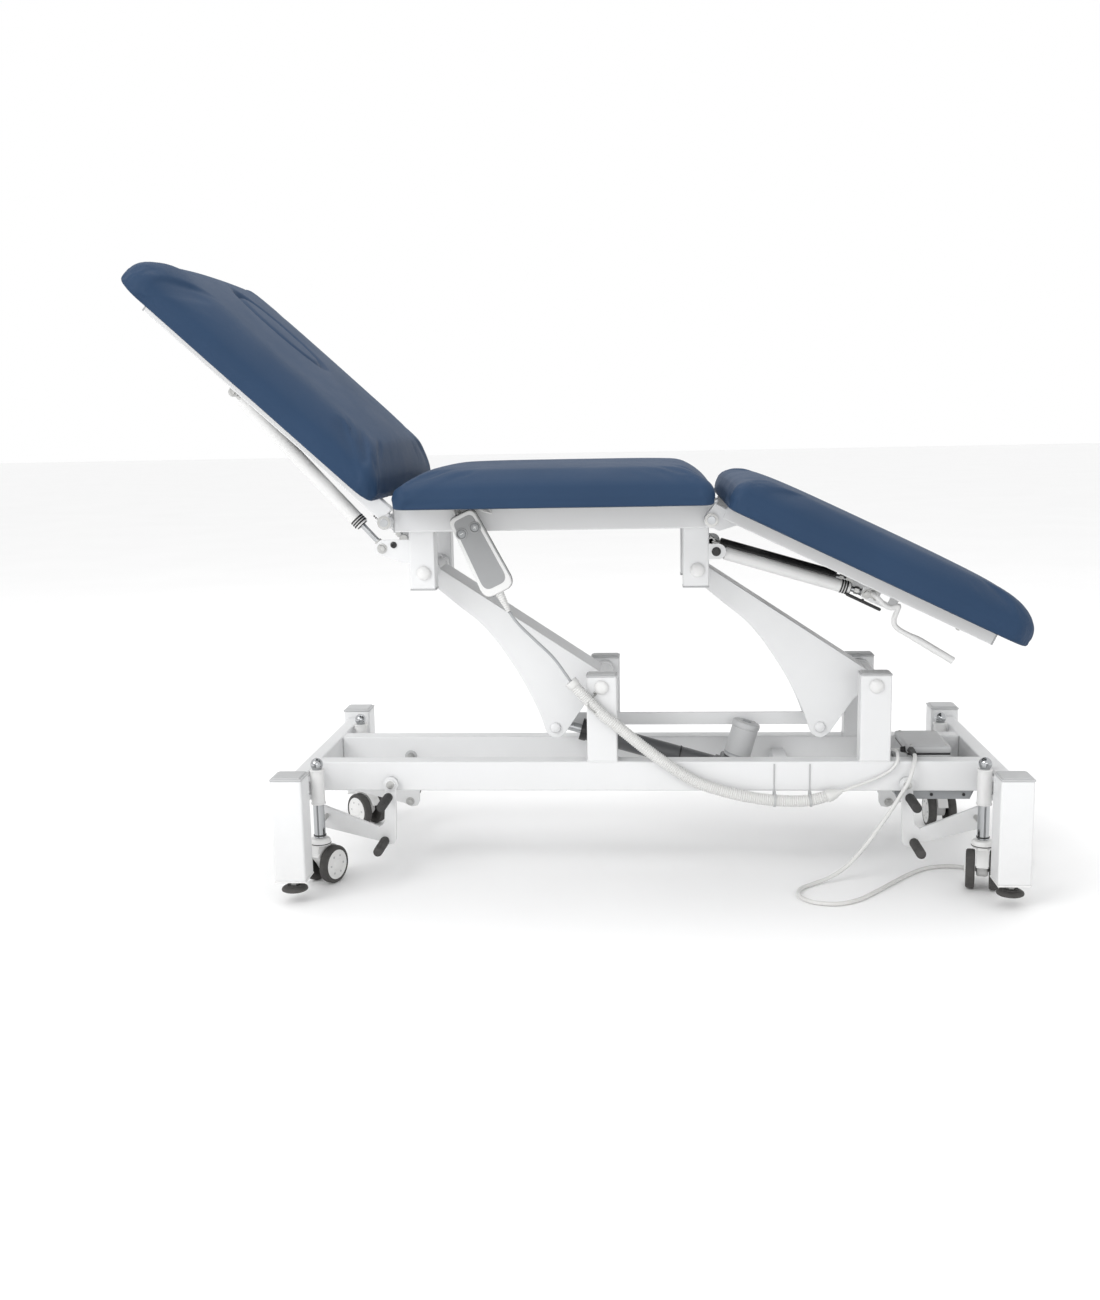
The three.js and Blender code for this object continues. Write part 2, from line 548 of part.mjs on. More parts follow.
function buildCables() {
  part('handset_cable', wire(HANDSET_CABLE, 2.8, 8, 12), greyPlastic);
  part('conduit', join(wire(CONDUIT, 12, 8, 30), wire(BOX_LEAD, 3, 6, 24)), whitePlastic);
  part('power_cord', wire(POWER_CORD, 4, 8, 56), whitePlastic);
  const hank = new THREE.Group();
  hank.position.set(...HANK.at, 0);
  hank.rotation.z = HANK.turn * deg;
  table.add(hank);
  const a = HANK.length / 2;
  const b = HANK.width / 2;
  const loops = slab(roundedRect(-a, a, -b, b, [b, b, b, b]), 0.3, HANK.height, 6);
  part('cord_hank', loops, whitePlastic, hank);
  const sleeve = barX(a - 1, a + 5, 6, 12.3, -24);
  const pins = [-36, -17].map((y) => box(a + 36, a + 54, y, y + 5, 10, 15));
  part('power_plug', join(box(a + 4, a + 36, -39, -9, 2, 23), sleeve, ...pins), whitePlastic, hank);
}

// ---------------------------------------------------------------- castors and their pedals
// A pedal lever: a cross shaft, two L-shaped cranks, four rubber pedals and two lifting pins.
function pedalLever(name, end) {
  const at = (points) => points.map(([x, z]) => [end * x, z]);
  const pieces = [barY(end * PEDAL_SHAFT[0], PEDAL_SHAFT[1], 8, -151, 151)];
  for (const side of [-1, 1]) {
    const span = (a, b) => (side < 0 ? [-b, -a] : [a, b]);
    const crank = at([
      [497, 188], [502, 196], [514, 196], [519, 188], [524, 104], [534, 95],
      [645, 140], [645, 94], [536, 66], [520, 58], [506, 60], [501, 70],
    ]);
    pieces.push(prism(end < 0 ? crank : crank.reverse(), ...span(135, 143)));
    for (const [x, z] of at([[512, 160], [522, 70]])) {
      pieces.push(barY(x, z, 6, ...span(142, 152)), barY(x, z, 9, ...span(151, 230)));
    }
    pieces.push(barY(end * CASTOR[0], 119, 5, ...span(142, 190), 12));
  }
  part(name, join(...pieces), whitePowder);
}

function castor(name, end, side, yaw) {
  const x = end * CASTOR[0];
  const y = side * CASTOR[1];
  part(`castor_stem_${name}`, join(barZ(x, y, 11.2, 93, 238), ball(x, y, 241, 12.5)), chromed);
  const frame = new THREE.Group();
  frame.position.set(x, y, 0);
  frame.rotation.z = yaw * deg;
  table.add(frame);
  const fork = join(barZ(0, 0, 21, 79, 92.7), box(-14, 33, -11, 11, 25, 80));
  part(`castor_fork_${name}`, cut(fork, barY(TRAIL, WHEEL_R, 5 + RUNNING, -12, 12)), whitePlastic, frame);
  const half = [[5, 13], [35, 13], [WHEEL_R, 17], [WHEEL_R, 25], [34, 31], [0, 31]];
  const outline = [...half.map(([r, v]) => [r, -v]).reverse(), ...half];
  part(`castor_wheels_${name}`, turned(outline, TRAIL, WHEEL_R, 18), blackPlastic, frame);
}

function buildCastors() {
  pedalLever('head_castor_pedal', -1);
  pedalLever('foot_castor_pedal', 1);
  castor('head_near', -1, -1, 65);
  castor('foot_near', 1, -1, -103);
  castor('head_far', -1, 1, -42);
  castor('foot_far', 1, 1, -88);
}

buildBase();
buildLift();
buildSeat();
buildBack();
buildLegRest();
buildHandset();
buildCables();
buildCastors();

export default table;
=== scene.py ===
"""Looks of a three-section examination table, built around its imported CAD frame."""
import json
import math

import bmesh
import bpy
from mathutils import Matrix, Vector, noise


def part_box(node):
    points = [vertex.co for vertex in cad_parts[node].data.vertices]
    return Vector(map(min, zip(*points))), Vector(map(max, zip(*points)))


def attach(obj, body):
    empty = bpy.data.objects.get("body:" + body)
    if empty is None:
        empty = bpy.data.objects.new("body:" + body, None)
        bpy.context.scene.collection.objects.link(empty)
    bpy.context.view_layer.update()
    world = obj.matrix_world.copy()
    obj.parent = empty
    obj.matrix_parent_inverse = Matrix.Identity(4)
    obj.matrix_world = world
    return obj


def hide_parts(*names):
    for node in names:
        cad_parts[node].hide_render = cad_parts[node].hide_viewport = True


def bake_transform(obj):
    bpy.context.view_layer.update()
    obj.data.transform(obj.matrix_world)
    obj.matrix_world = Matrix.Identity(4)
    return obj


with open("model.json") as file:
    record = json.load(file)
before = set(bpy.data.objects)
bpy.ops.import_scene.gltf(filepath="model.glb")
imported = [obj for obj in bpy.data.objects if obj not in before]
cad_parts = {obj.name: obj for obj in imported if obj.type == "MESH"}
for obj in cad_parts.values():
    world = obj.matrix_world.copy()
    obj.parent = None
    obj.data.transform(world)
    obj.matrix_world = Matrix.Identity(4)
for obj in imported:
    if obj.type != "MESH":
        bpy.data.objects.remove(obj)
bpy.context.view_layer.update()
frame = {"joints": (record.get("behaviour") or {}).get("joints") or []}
JOINTS = {j["name"]: j for j in frame["joints"]}

MM = 0.001
UP = Vector((0, 0, 1))


def pivot(joint):
    return Vector(JOINTS[joint]["pos_m"])


# ------------------------------------------------------------------ frames of reference
# Lengths below are millimetres from the middle of the base, or along and across a sloping section.
MIDDLE = (pivot("head_pedal_tilt").x + pivot("foot_pedal_tilt").x) / 2
LIFT_ANGLE = 33.7
BACK_ANGLE = -JOINTS["backrest"]["range_deg"][0]
LEG_ANGLE = JOINTS["leg_rest"]["range_deg"][1]


def place(origin, degrees=0.0, spin=0.0):
    turn = Matrix.Rotation(math.radians(degrees), 4, "Y") @ Matrix.Rotation(math.radians(spin), 4, "Z")
    return Matrix.Translation(origin) @ turn @ Matrix.Scale(MM, 4)


def slope_of(joint):
    axis = Vector(JOINTS[joint]["axis"])
    return math.degrees(math.atan2(-axis.z, axis.x))


def home(x, y, z):
    return Vector((x * MM + MIDDLE, y * MM, z * MM))


def put(name, data):
    made = bpy.data.objects.new(name, data)
    bpy.context.scene.collection.objects.link(made)
    return made


HOME = place((MIDDLE, 0, 0))
BACK = place(pivot("backrest"), BACK_ANGLE)
LEG = place(pivot("leg_rest"), LEG_ANGLE)
ARM = place(pivot("lift"), LIFT_ANGLE)
FOOT_ARM = place(pivot("lift_foot_arm"), LIFT_ANGLE)
ACTUATOR = place(pivot("actuator_swing"), slope_of("actuator_stroke") - 180)


# ------------------------------------------------------------------ camera, light and floor
def build_studio():
    scene = bpy.context.scene
    scene.view_settings.view_transform = "Standard"
    scene.view_settings.look = "None"
    camera = put("camera", bpy.data.cameras.new("camera"))
    camera.data.sensor_fit = "VERTICAL"
    camera.data.sensor_height = 36
    camera.data.lens = 37.52
    camera.data.clip_end = 60
    yaw, pitch, roll = (math.radians(v) for v in (-4.447, 9.448, -1.149))
    ahead = Vector((math.sin(yaw) * math.cos(pitch), math.cos(yaw) * math.cos(pitch), -math.sin(pitch)))
    right = Vector((math.cos(yaw), -math.sin(yaw), 0))
    up = right.cross(ahead)
    rolled_right = right * math.cos(roll) + up * math.sin(roll)
    rolled_up = up * math.cos(roll) - right * math.sin(roll)
    turn = Matrix((rolled_right, rolled_up, -ahead)).transposed().to_4x4()
    camera.matrix_world = Matrix.Translation(home(19.2, -2741.6, 887.9)) @ turn
    scene.camera = camera

    world = bpy.data.worlds.new("studio")
    scene.world = world
    world.use_nodes = True
    sky = world.node_tree.nodes["Background"]
    sky.inputs["Color"].default_value = (1, 1, 1, 1)
    sky.inputs["Strength"].default_value = 1.0

    def lamp(name, where, target, size, power):
        data = bpy.data.lights.new(name, "AREA")
        data.shape = "RECTANGLE"
        data.size, data.size_y = size
        data.energy = power
        lamp_object = put(name, data)
        lamp_object.location = where
        lamp_object.rotation_euler = (Vector(target) - Vector(where)).to_track_quat("-Z", "Y").to_euler()

    lamp("key_light", (-3.2, -3.6, 3.4), (0, 0, 0.6), (3.0, 2.4), 105)
    lamp("front_fill", (1.0, -5.2, 1.4), (0, 0, 0.5), (3.5, 2.0), 26)
    lamp("top_light", (-0.3, 0.6, 3.8), (0, 0, 0.6), (3.4, 2.2), 38)

    floor = bpy.data.meshes.new("floor")
    floor.from_pydata([(-30, -12, 0), (30, -12, 0), (30, 40, 0), (-30, 40, 0)], [], [(0, 1, 2, 3)])
    ground = put("floor", floor)
    ground.location.z = -0.0004
    finish = matt("studio_floor", (0.93, 0.93, 0.93), 0.8, grain=(60, 0.02), mottle=(1.5, 0.01))
    floor.materials.append(finish)


# ------------------------------------------------------------------ materials
NOISE_RANGE = (0.3, 0.7)    # where most of a noise texture's values lie
GRIME_HEIGHT = 0.22         # metres above the floor at which the grime has faded out
CREASE_WIDTH = 0.22         # share of a leatherette cell that its crease takes up


def matt(name, color, roughness, metallic=0.0, grain=(900, 0.05), mottle=(9, 0.03), uneven=0.06,
         second=None, specular=0.5, stretch=None, grime=0.0):
    """A procedural finish: mottled colour, uneven gloss and one or two scales of bump.
    grain, mottle and second are each a scale and a strength; grime is the dirt's strength at the floor."""
    material = bpy.data.materials.new(name)
    material.use_nodes = True
    tree = material.node_tree
    shader = tree.nodes["Principled BSDF"]
    shader.inputs["Metallic"].default_value = metallic
    shader.inputs["Specular IOR Level"].default_value = specular

    def node(kind, **values):
        made = tree.nodes.new(kind)
        for key, value in values.items():
            if key in made.inputs:
                made.inputs[key].default_value = value
            else:
                setattr(made, key, value)
        return made

    def link(a, b):
        tree.links.new(a, b)

    def remap(value, source, target):
        made = node("ShaderNodeMapRange")
        for end, (start, stop) in (("From", source), ("To", target)):
            made.inputs[f"{end} Min"].default_value = start
            made.inputs[f"{end} Max"].default_value = stop
        link(value, made.inputs["Value"])
        return made.outputs["Result"]

    where = node("ShaderNodeTexCoord").outputs["Object"]
    if stretch:
        mapping = node("ShaderNodeMapping")
        mapping.inputs["Scale"].default_value = stretch
        link(where, mapping.inputs["Vector"])
        fine_where = mapping.outputs["Vector"]
    else:
        fine_where = where
    broad = node("ShaderNodeTexNoise", Scale=mottle[0], Detail=5.0, Roughness=0.6)
    link(where, broad.inputs["Vector"])
    spread = remap(broad.outputs["Fac"], NOISE_RANGE, (1 - mottle[1], 1 + mottle[1]))
    tint = node("ShaderNodeMix", data_type="RGBA", blend_type="MULTIPLY")
    tint.inputs["Factor"].default_value = 1.0
    tint.inputs[6].default_value = (*color, 1)
    grey = node("ShaderNodeCombineColor")
    for channel in ("Red", "Green", "Blue"):
        link(spread, grey.inputs[channel])
    link(grey.outputs["Color"], tint.inputs[7])
    result = tint.outputs[2]
    if grime:
        low = node("ShaderNodeSeparateXYZ")
        link(where, low.inputs["Vector"])
        near_floor = remap(low.outputs["Z"], (0.0, GRIME_HEIGHT), (grime, 0.0))
        specks = node("ShaderNodeTexNoise", Scale=38.0, Detail=8.0, Roughness=0.7)
        link(where, specks.inputs["Vector"])
        amount = node("ShaderNodeMath", operation="MULTIPLY")
        link(near_floor, amount.inputs[0])
        link(specks.outputs["Fac"], amount.inputs[1])
        dirty = node("ShaderNodeMix", data_type="RGBA")
        dirty.inputs[7].default_value = (0.33, 0.31, 0.28, 1)
        link(amount.outputs["Value"], dirty.inputs["Factor"])
        link(result, dirty.inputs[6])
        result = dirty.outputs[2]
    link(result, shader.inputs["Base Color"])

    smear = node("ShaderNodeTexNoise", Scale=mottle[0] * 2.3, Detail=6.0, Roughness=0.65)
    link(where, smear.inputs["Vector"])
    gloss = (max(0.02, roughness - uneven), min(1.0, roughness + uneven))
    link(remap(smear.outputs["Fac"], NOISE_RANGE, gloss), shader.inputs["Roughness"])

    fine = node("ShaderNodeTexNoise", Scale=grain[0], Detail=3.0, Roughness=0.55)
    link(fine_where, fine.inputs["Vector"])
    bump = node("ShaderNodeBump")
    bump.inputs["Strength"].default_value = grain[1]
    bump.inputs["Distance"].default_value = 0.0006
    link(fine.outputs["Fac"], bump.inputs["Height"])
    last = bump
    if second:
        cells = node("ShaderNodeTexVoronoi", feature="DISTANCE_TO_EDGE", Scale=second[0])
        wobble = node("ShaderNodeTexNoise", Scale=second[0] * 0.5, Detail=2.0)
        link(where, wobble.inputs["Vector"])
        shift = node("ShaderNodeMix", data_type="VECTOR")
        shift.inputs["Factor"].default_value = 0.0025
        link(where, shift.inputs[4])
        link(wobble.outputs["Color"], shift.inputs[5])
        link(shift.outputs[1], cells.inputs["Vector"])
        ramp = remap(cells.outputs["Distance"], (0.0, CREASE_WIDTH), (0.0, 1.0))
        creases = node("ShaderNodeBump")
        creases.inputs["Strength"].default_value = second[1]
        creases.inputs["Distance"].default_value = 0.0005
        link(ramp, creases.inputs["Height"])
        link(bump.outputs["Normal"], creases.inputs["Normal"])
        last = creases
    link(last.outputs["Normal"], shader.inputs["Normal"])
    return material


def build_materials():
    return {
        "powder": matt("white_powder_coat", (0.72, 0.725, 0.73), 0.40, grain=(1100, 0.10), mottle=(5, 0.02),
                       grime=0.28),
        "plastic": matt("white_moulded_plastic", (0.73, 0.73, 0.725), 0.36, grain=(1500, 0.08),
                        mottle=(14, 0.02), grime=0.2),
        "pale": matt("pale_grey_moulding", (0.46, 0.465, 0.47), 0.42, grain=(1300, 0.12), mottle=(14, 0.03)),
        "grey": matt("grey_moulded_plastic", (0.30, 0.31, 0.32), 0.45, grain=(1200, 0.16), mottle=(12, 0.04)),
        "dark": matt("dark_grey_paint", (0.085, 0.088, 0.092), 0.38, grain=(900, 0.10), mottle=(11, 0.08)),
        "black": matt("black_moulded_plastic", (0.018, 0.018, 0.019), 0.42, grain=(1200, 0.15),
                      mottle=(12, 0.15)),
        "rubber": matt("black_rubber", (0.022, 0.022, 0.023), 0.72, grain=(700, 0.25), mottle=(20, 0.2),
                       grime=0.25),
        "chrome": matt("bright_chrome", (0.43, 0.44, 0.45), 0.09, 1.0, grain=(300, 0.02), mottle=(20, 0.03),
                       uneven=0.05),
        "steel": matt("ground_steel", (0.46, 0.47, 0.48), 0.30, 1.0, grain=(420, 0.10), mottle=(25, 0.08),
                      uneven=0.08, stretch=(1, 7, 1)),
        "zinc": matt("zinc_plated_steel", (0.50, 0.50, 0.49), 0.36, 1.0, grain=(500, 0.14),
                     mottle=(45, 0.14), uneven=0.1),
        "vinyl": matt("slate_blue_leatherette", (0.018, 0.044, 0.094), 0.60, grain=(1700, 0.14),
                      mottle=(3.2, 0.07),
                      uneven=0.05, second=(620, 0.16), specular=0.2),
        "underlay": matt("black_spunbond_underlay", (0.030, 0.031, 0.033), 0.9, grain=(1400, 0.5),
                         mottle=(60, 0.25),
                         second=(300, 0.35)),
        "sheath": matt("white_cable_sheath", (0.68, 0.68, 0.67), 0.44, grain=(1500, 0.06), mottle=(18, 0.03),
                       grime=0.3),
        "grey_sheath": matt("grey_cable_sheath", (0.36, 0.37, 0.38), 0.46, grain=(1500, 0.08),
                            mottle=(18, 0.05)),
        "panel": matt("hand_control_panel", (0.31, 0.315, 0.32), 0.50, grain=(1900, 0.10), mottle=(20, 0.03)),
        "brass": matt("plated_pin", (0.62, 0.60, 0.52), 0.22, 1.0, grain=(500, 0.05), mottle=(60, 0.06)),
    }


# ------------------------------------------------------------------ mesh helpers
def smooth_path(points, step):
    """Centripetal Catmull-Rom curve through the points, sampled about every step."""
    p = [Vector(q) for q in points]
    p = [p[0] * 2 - p[1]] + p + [p[-1] * 2 - p[-2]]
    line = [p[1].copy()]
    for a, b, c, d in zip(p, p[1:], p[2:], p[3:]):
        t = [0.0]
        for u, v in ((a, b), (b, c), (c, d)):
            t.append(t[-1] + max((v - u).length, 1e-6) ** 0.5)
        count = max(1, round((c - b).length / step))
        for i in range(1, count + 1):
            s = t[1] + (t[2] - t[1]) * i / count
            a1 = a.lerp(b, (s - t[0]) / (t[1] - t[0]))
            a2 = b.lerp(c, (s - t[1]) / (t[2] - t[1]))
            a3 = c.lerp(d, (s - t[2]) / (t[3] - t[2]))
            b1 = a1.lerp(a2, (s - t[0]) / (t[2] - t[0]))
            b2 = a2.lerp(a3, (s - t[1]) / (t[3] - t[1]))
            line.append(b1.lerp(b2, (s - t[1]) / (t[2] - t[1])))
    return line


class Piece:
    """One mesh object, made of rounded blocks, turned parts, plates and tubes in millimetres."""

    def __init__(self, name, where, *materials):
        self.name, self.where = name, where
        self.materials = [M[m] for m in materials]
        self.bm = bmesh.new()

    def merge(self, part, material, turn=None):
        if turn is not None:
            bmesh.ops.transform(part, matrix=turn, verts=part.verts)
        for face in part.faces:
            face.material_index = material
        mesh = bpy.data.meshes.new("part")
        part.to_mesh(mesh)
        part.free()
        self.bm.from_mesh(mesh)
        bpy.data.meshes.remove(mesh)
        return self

    def block(self, x0, x1, y0, y1, z0, z1, r=2.5, material=0, turn=None, segments=3):
        part = bmesh.new()
        cube = bmesh.ops.create_cube(part, size=1)["verts"]
        bmesh.ops.scale(part, vec=(x1 - x0, y1 - y0, z1 - z0), verts=cube)
        bmesh.ops.translate(part, vec=((x0 + x1) / 2, (y0 + y1) / 2, (z0 + z1) / 2), verts=cube)
        if r:
            r = min(r, 0.45 * min(x1 - x0, y1 - y0, z1 - z0))
            bmesh.ops.bevel(part, geom=part.edges[:], offset=r, segments=segments, profile=0.5,
                            affect="EDGES")
        return self.merge(part, material, turn)

    def plate(self, outline, y0, y1, r=0.8, material=0, turn=None):
        """A side outline in X and Z, given thickness along Y, its rims rounded."""
        part = bmesh.new()
        ring = [part.verts.new((x, y0, z)) for x, z in outline]
        face = part.faces.new(ring)
        top = bmesh.ops.extrude_face_region(part, geom=[face])
        moved = [v for v in top["geom"] if isinstance(v, bmesh.types.BMVert)]
        bmesh.ops.translate(part, vec=(0, y1 - y0, 0), verts=moved)
        bmesh.ops.recalc_face_normals(part, faces=part.faces[:])
        if r:
            rims = [e for e in part.edges if abs(e.verts[0].co.y - e.verts[1].co.y) < 1e-6]
            bmesh.ops.bevel(part, geom=rims, offset=r, segments=2, profile=0.5, affect="EDGES",
                            clamp_overlap=True)
        return self.merge(part, material, turn)

    def turned(self, profile, origin, axis=(0, 1, 0), sides=40, material=0):
        """A turned part: profile is [radius, distance along axis] from end to end."""
        part = bmesh.new()
        rings = []
        for radius, along in profile:
            if radius < 1e-6:
                rings.append([part.verts.new((0, 0, along))])
            else:
                circle = [2 * math.pi * i / sides for i in range(sides)]
                spots = [(radius * math.cos(a), radius * math.sin(a), along) for a in circle]
                rings.append([part.verts.new(spot) for spot in spots])
        for a, b in zip(rings, rings[1:]):
            for i in range(sides):
                j = (i + 1) % sides
                corners = [a[i % len(a)], a[j % len(a)], b[j % len(b)], b[i % len(b)]]
                unique = list(dict.fromkeys(corners))
                if len(unique) > 2:
                    part.faces.new(unique)
        for end in (rings[0], rings[-1]):
            if len(end) > 1:
                part.faces.new(end)
        bmesh.ops.recalc_face_normals(part, faces=part.faces[:])
        turn = Matrix.Translation(origin) @ UP.rotation_difference(Vector(axis)).to_matrix().to_4x4()
        return self.merge(part, material, turn)

    def rod(self, start, end, r, material=0, edge=0.8, sides=32):
        start, end = Vector(start), Vector(end)
        long = (end - start).length
        e = min(edge, r * 0.45, long * 0.4)
        profile = [(0, 0), (r - e, 0), (r - 0.3 * e, 0.3 * e), (r, e), (r, long - e),
                   (r - 0.3 * e, long - 0.3 * e), (r - e, long), (0, long)]
        return self.turned(profile, start, (end - start).normalized(), sides, material)

    def bolt(self, at, axis, r, material=0, head=None, washer=True):
        """A hexagon head or nut with a chamfered top and a washer, standing on the point at."""
        axis = Vector(axis).normalized()
        at = Vector(at)
        head = head or r * 0.8
        if washer:
            self.turned([(0, 0), (r * 1.3, 0), (r * 1.35, 0.5), (r * 1.3, 1.1), (0, 1.1)], at, axis, 28,
                        material)
            at = at + axis * 1.0
        self.turned([(0, 0), (r, 0), (r, head * 0.8), (r * 0.86, head), (r * 0.5, head),
                     (r * 0.45, head * 0.9), (0, head * 0.9)],
                    at, axis, 6, material)
        return self

    def screw(self, at, axis, r, material=0):
        """A domed socket-head screw standing on the point at."""
        profile = [(0, 0), (r, 0), (r, r * 0.15), (r * 0.85, r * 0.45), (r * 0.45, r * 0.62),
                   (r * 0.42, r * 0.2), (0, r * 0.2)]
        return self.turned(profile, Vector(at), Vector(axis).normalized(), 24, material)

    def tube(self, line, radius, sides=16, material=0, caps=True):
        """A tube along a line; radius is a number or a function of the distance along it."""
        part = bmesh.new()
        ahead = (line[1] - line[0]).normalized()
        side = ahead.orthogonal().normalized()
        circle = [2 * math.pi * k / sides for k in range(sides)]
        rings, along = [], 0.0
        for i, point in enumerate(line):
            if i:
                along += (point - line[i - 1]).length
            new = (line[min(i + 1, len(line) - 1)] - line[max(i - 1, 0)]).normalized()
            side = (ahead.rotation_difference(new) @ side).normalized()
            side = (side - new * side.dot(new)).normalized()
            ahead = new
            other = ahead.cross(side)
            r = radius(along) if callable(radius) else radius
            spots = [point + (side * math.cos(a) + other * math.sin(a)) * r for a in circle]
            rings.append([part.verts.new(spot) for spot in spots])
        for a, b in zip(rings, rings[1:]):
            for k in range(sides):
                part.faces.new((a[k], a[(k + 1) % sides], b[(k + 1) % sides], b[k]))
        if caps:
            part.faces.new(rings[0])
            part.faces.new(rings[-1])
        bmesh.ops.recalc_face_normals(part, faces=part.faces[:])
        return self.merge(part, material)

    def weld(self, points, r=1.6, material=0):
        """A run of weld along straight stretches between points: a bead with ripples."""
        def ripple(s):
            return r * (1 + 0.16 * math.sin(s * 1.9) + 0.06 * math.sin(s * 0.7))

        for start, end in zip(points, points[1:]):
            start, end = Vector(start), Vector(end)
            count = max(2, int((end - start).length / 2.0))
            line = [start.lerp(end, i / count) for i in range(count + 1)]
            self.tube(line, ripple, 8, material)
        return self

    def done(self, body, slot, *nodes, sharp=35.0, weighted=True):
        mesh = bpy.data.meshes.new(self.name)
        self.bm.to_mesh(mesh)
        self.bm.free()
        mesh.transform(self.where)
        for material in self.materials:
            mesh.materials.append(material)
        for polygon in mesh.polygons:
            polygon.use_smooth = True
        mesh.set_sharp_from_angle(angle=math.radians(sharp))
        made = put(self.name, mesh)
        if weighted:
            normals = made.modifiers.new("normals", "WEIGHTED_NORMAL")
            normals.keep_sharp = True
        if body:
            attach(made, body)
        if nodes:
            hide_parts(*nodes)
        return made


def arc(cx, cz, r, start, end, count=8):
    angles = [math.radians(start + (end - start) * i / count) for i in range(count + 1)]
    return [(cx + r * math.cos(a), cz + r * math.sin(a)) for a in angles]


def bezier(a, b, c, count=8):
    """A quadratic curve from a to c, without its first point."""
    def mix(p, q, r, t):
        return (1 - t) ** 2 * p + 2 * t * (1 - t) * q + t * t * r

    return [(mix(a[0], b[0], c[0], i / count), mix(a[1], b[1], c[1], i / count)) for i in range(1, count + 1)]


def sides():
    return (("near", -1), ("far", 1))


def span(side, a, b):
    """The stretch from a to b on the given side of the middle, in rising order."""
    return (-b, -a) if side < 0 else (a, b)


# ------------------------------------------------------------------ base
PYLONS = (-84, 448)
RAIL = (90, 130)                  # inner and outer face of a side rail
RAIL_LOW, RAIL_HIGH = 167, 227
PEDAL_X, PEDAL_Z = 508, 184       # pedal shafts
STEM_X, STEM_Y = 641, 203         # castor stems


def side_rail(name, side):
    y0, y1 = span(side, *RAIL)
    rail = Piece(f"{name}_side_rail_tube", HOME, "powder", "pale")
    rail.block(-657, 657, y0, y1, RAIL_LOW, RAIL_HIGH, 3.5)
    for x in PYLONS:
        rail.block(x - 30, x + 30, y0, y1, 223.4, 397.5, 3.5)
        for face in (y0, y1):
            rail.weld([(x - 29, face, 227.4), (x + 29, face, 227.4)], 1.4)
        for edge in (-30, 30):
            rail.weld([(x + edge, y0 + 3, 227.4), (x + edge, y1 - 3, 227.4)], 1.4)
        # domed end cap
        rail.block(x - 30.6, x + 30.6, y0 - 0.6, y1 + 0.6, 396.6, 400.4, 1.6, 1)
        rail.block(x - 27.5, x + 27.5, y0 + 2.5, y1 - 2.5, 396, 402.6, 2.4, 1)
    bush = [(8.6, 0), (13, 0), (13, 1.6), (11.5, 2.6), (8.6, 2.6)]
    for x in (-PEDAL_X, PEDAL_X):
        for face, out in ((y0, -1), (y1, 1)):
            rail.turned(bush, (x, face, PEDAL_Z), (0, out, 0), 32, 1)
    rail.done("base", "white_frame", f"{name}_side_rail")


def end_beam(name, end):
    def out(a, b):
        return span(end, a, b)

    beam = Piece(f"{name}_end_beam_tube", HOME, "powder", "pale", "plastic")
    beam.block(*out(657, 687), -282, 282, RAIL_LOW, RAIL_HIGH, 3.5)
    for _, side in sides():
        y0, y1 = span(side, 280, 340)
        beam.block(*out(637, 697), y0, y1, 47, 243, 4.5, segments=4)
        beam.block(*out(636.4, 697.6), y0 - 0.6, y1 + 0.6, 241.8, 246, 2.0, 1)
        beam.block(*out(640, 694), y0 + 3, y1 - 3, 241, 248.4, 3.2, 1)
        beam.block(*out(636.6, 697.4), y0 - 0.4, y1 + 0.4, 45, 48.6, 1.4, 2)
        inner = y1 if side < 0 else y0
        for z in (RAIL_LOW, RAIL_HIGH):
            beam.weld([(end * 658, inner, z), (end * 686, inner, z)], 1.3)
        for x in (657, 687):
            beam.weld([(end * x, inner, 168), (end * x, inner, 226)], 1.3)
        x, y = end * STEM_X, side * STEM_Y
        sleeve = [(11.9, 163.6), (13.3, 163.6), (13.5, 164.4), (13.5, 227.0), (13.3, 227.8), (11.9, 227.8)]
        beam.turned(sleeve + sleeve[:1], (x, y, 0), (0, 0, 1), 40, 2)
        collar = [(11.4, 0), (14.6, 0), (14.6, 2.0), (13.8, 3.0), (11.4, 3.0)]
        for z, up in ((163.8, -1), (227.6, 1)):
            beam.turned(collar, (x, y, z), (0, 0, up), 40, 2)
        for z in (170, 207):
            beam.block(*out(645, 659), y - 5, y + 5, z, z + 11, 1.2)
    for _, side in sides():
        for z in (168, 226):
            beam.weld([(end * 656.6, side * y, z) for y in RAIL], 1.4)
    beam.done("base", "white_frame", f"{name}_end_beam")


def leveling_foot(end_name, end, side_name, side):
    where = place(home(end * 667, side * 310, 0))
    foot = Piece(f"leveling_foot_pad_{end_name}_{side_name}", where, "rubber", "zinc")
    dish = [(0, 22), (23, 22), (24.6, 23), (25, 25), (24.2, 27.2), (21, 29.6), (15.5, 31.6), (15, 33),
            (0, 33)]
    foot.turned(dish, (0, 0, 0), (0, 0, 1))
    foot.turned([(0, 31), (5.0, 31), (5.0, 46), (0, 46)], (0, 0, 0), (0, 0, 1), 24, 1)
    for i in range(8):
        foot.turned([(4.7, 0), (5.35, 0.55), (4.7, 1.1)], (0, 0, 37 + i * 1.1), (0, 0, 1), 24, 1)
    foot.bolt((0, 0, 33), (0, 0, 1), 8.2, 1, 5, washer=False)
    foot.rod((0, 0, 46), (0, 0, 76), 4.9, 1)
    foot.done(f"leveling_foot_{end_name}_{side_name}", "rubber", f"leveling_foot_{end_name}_{side_name}")


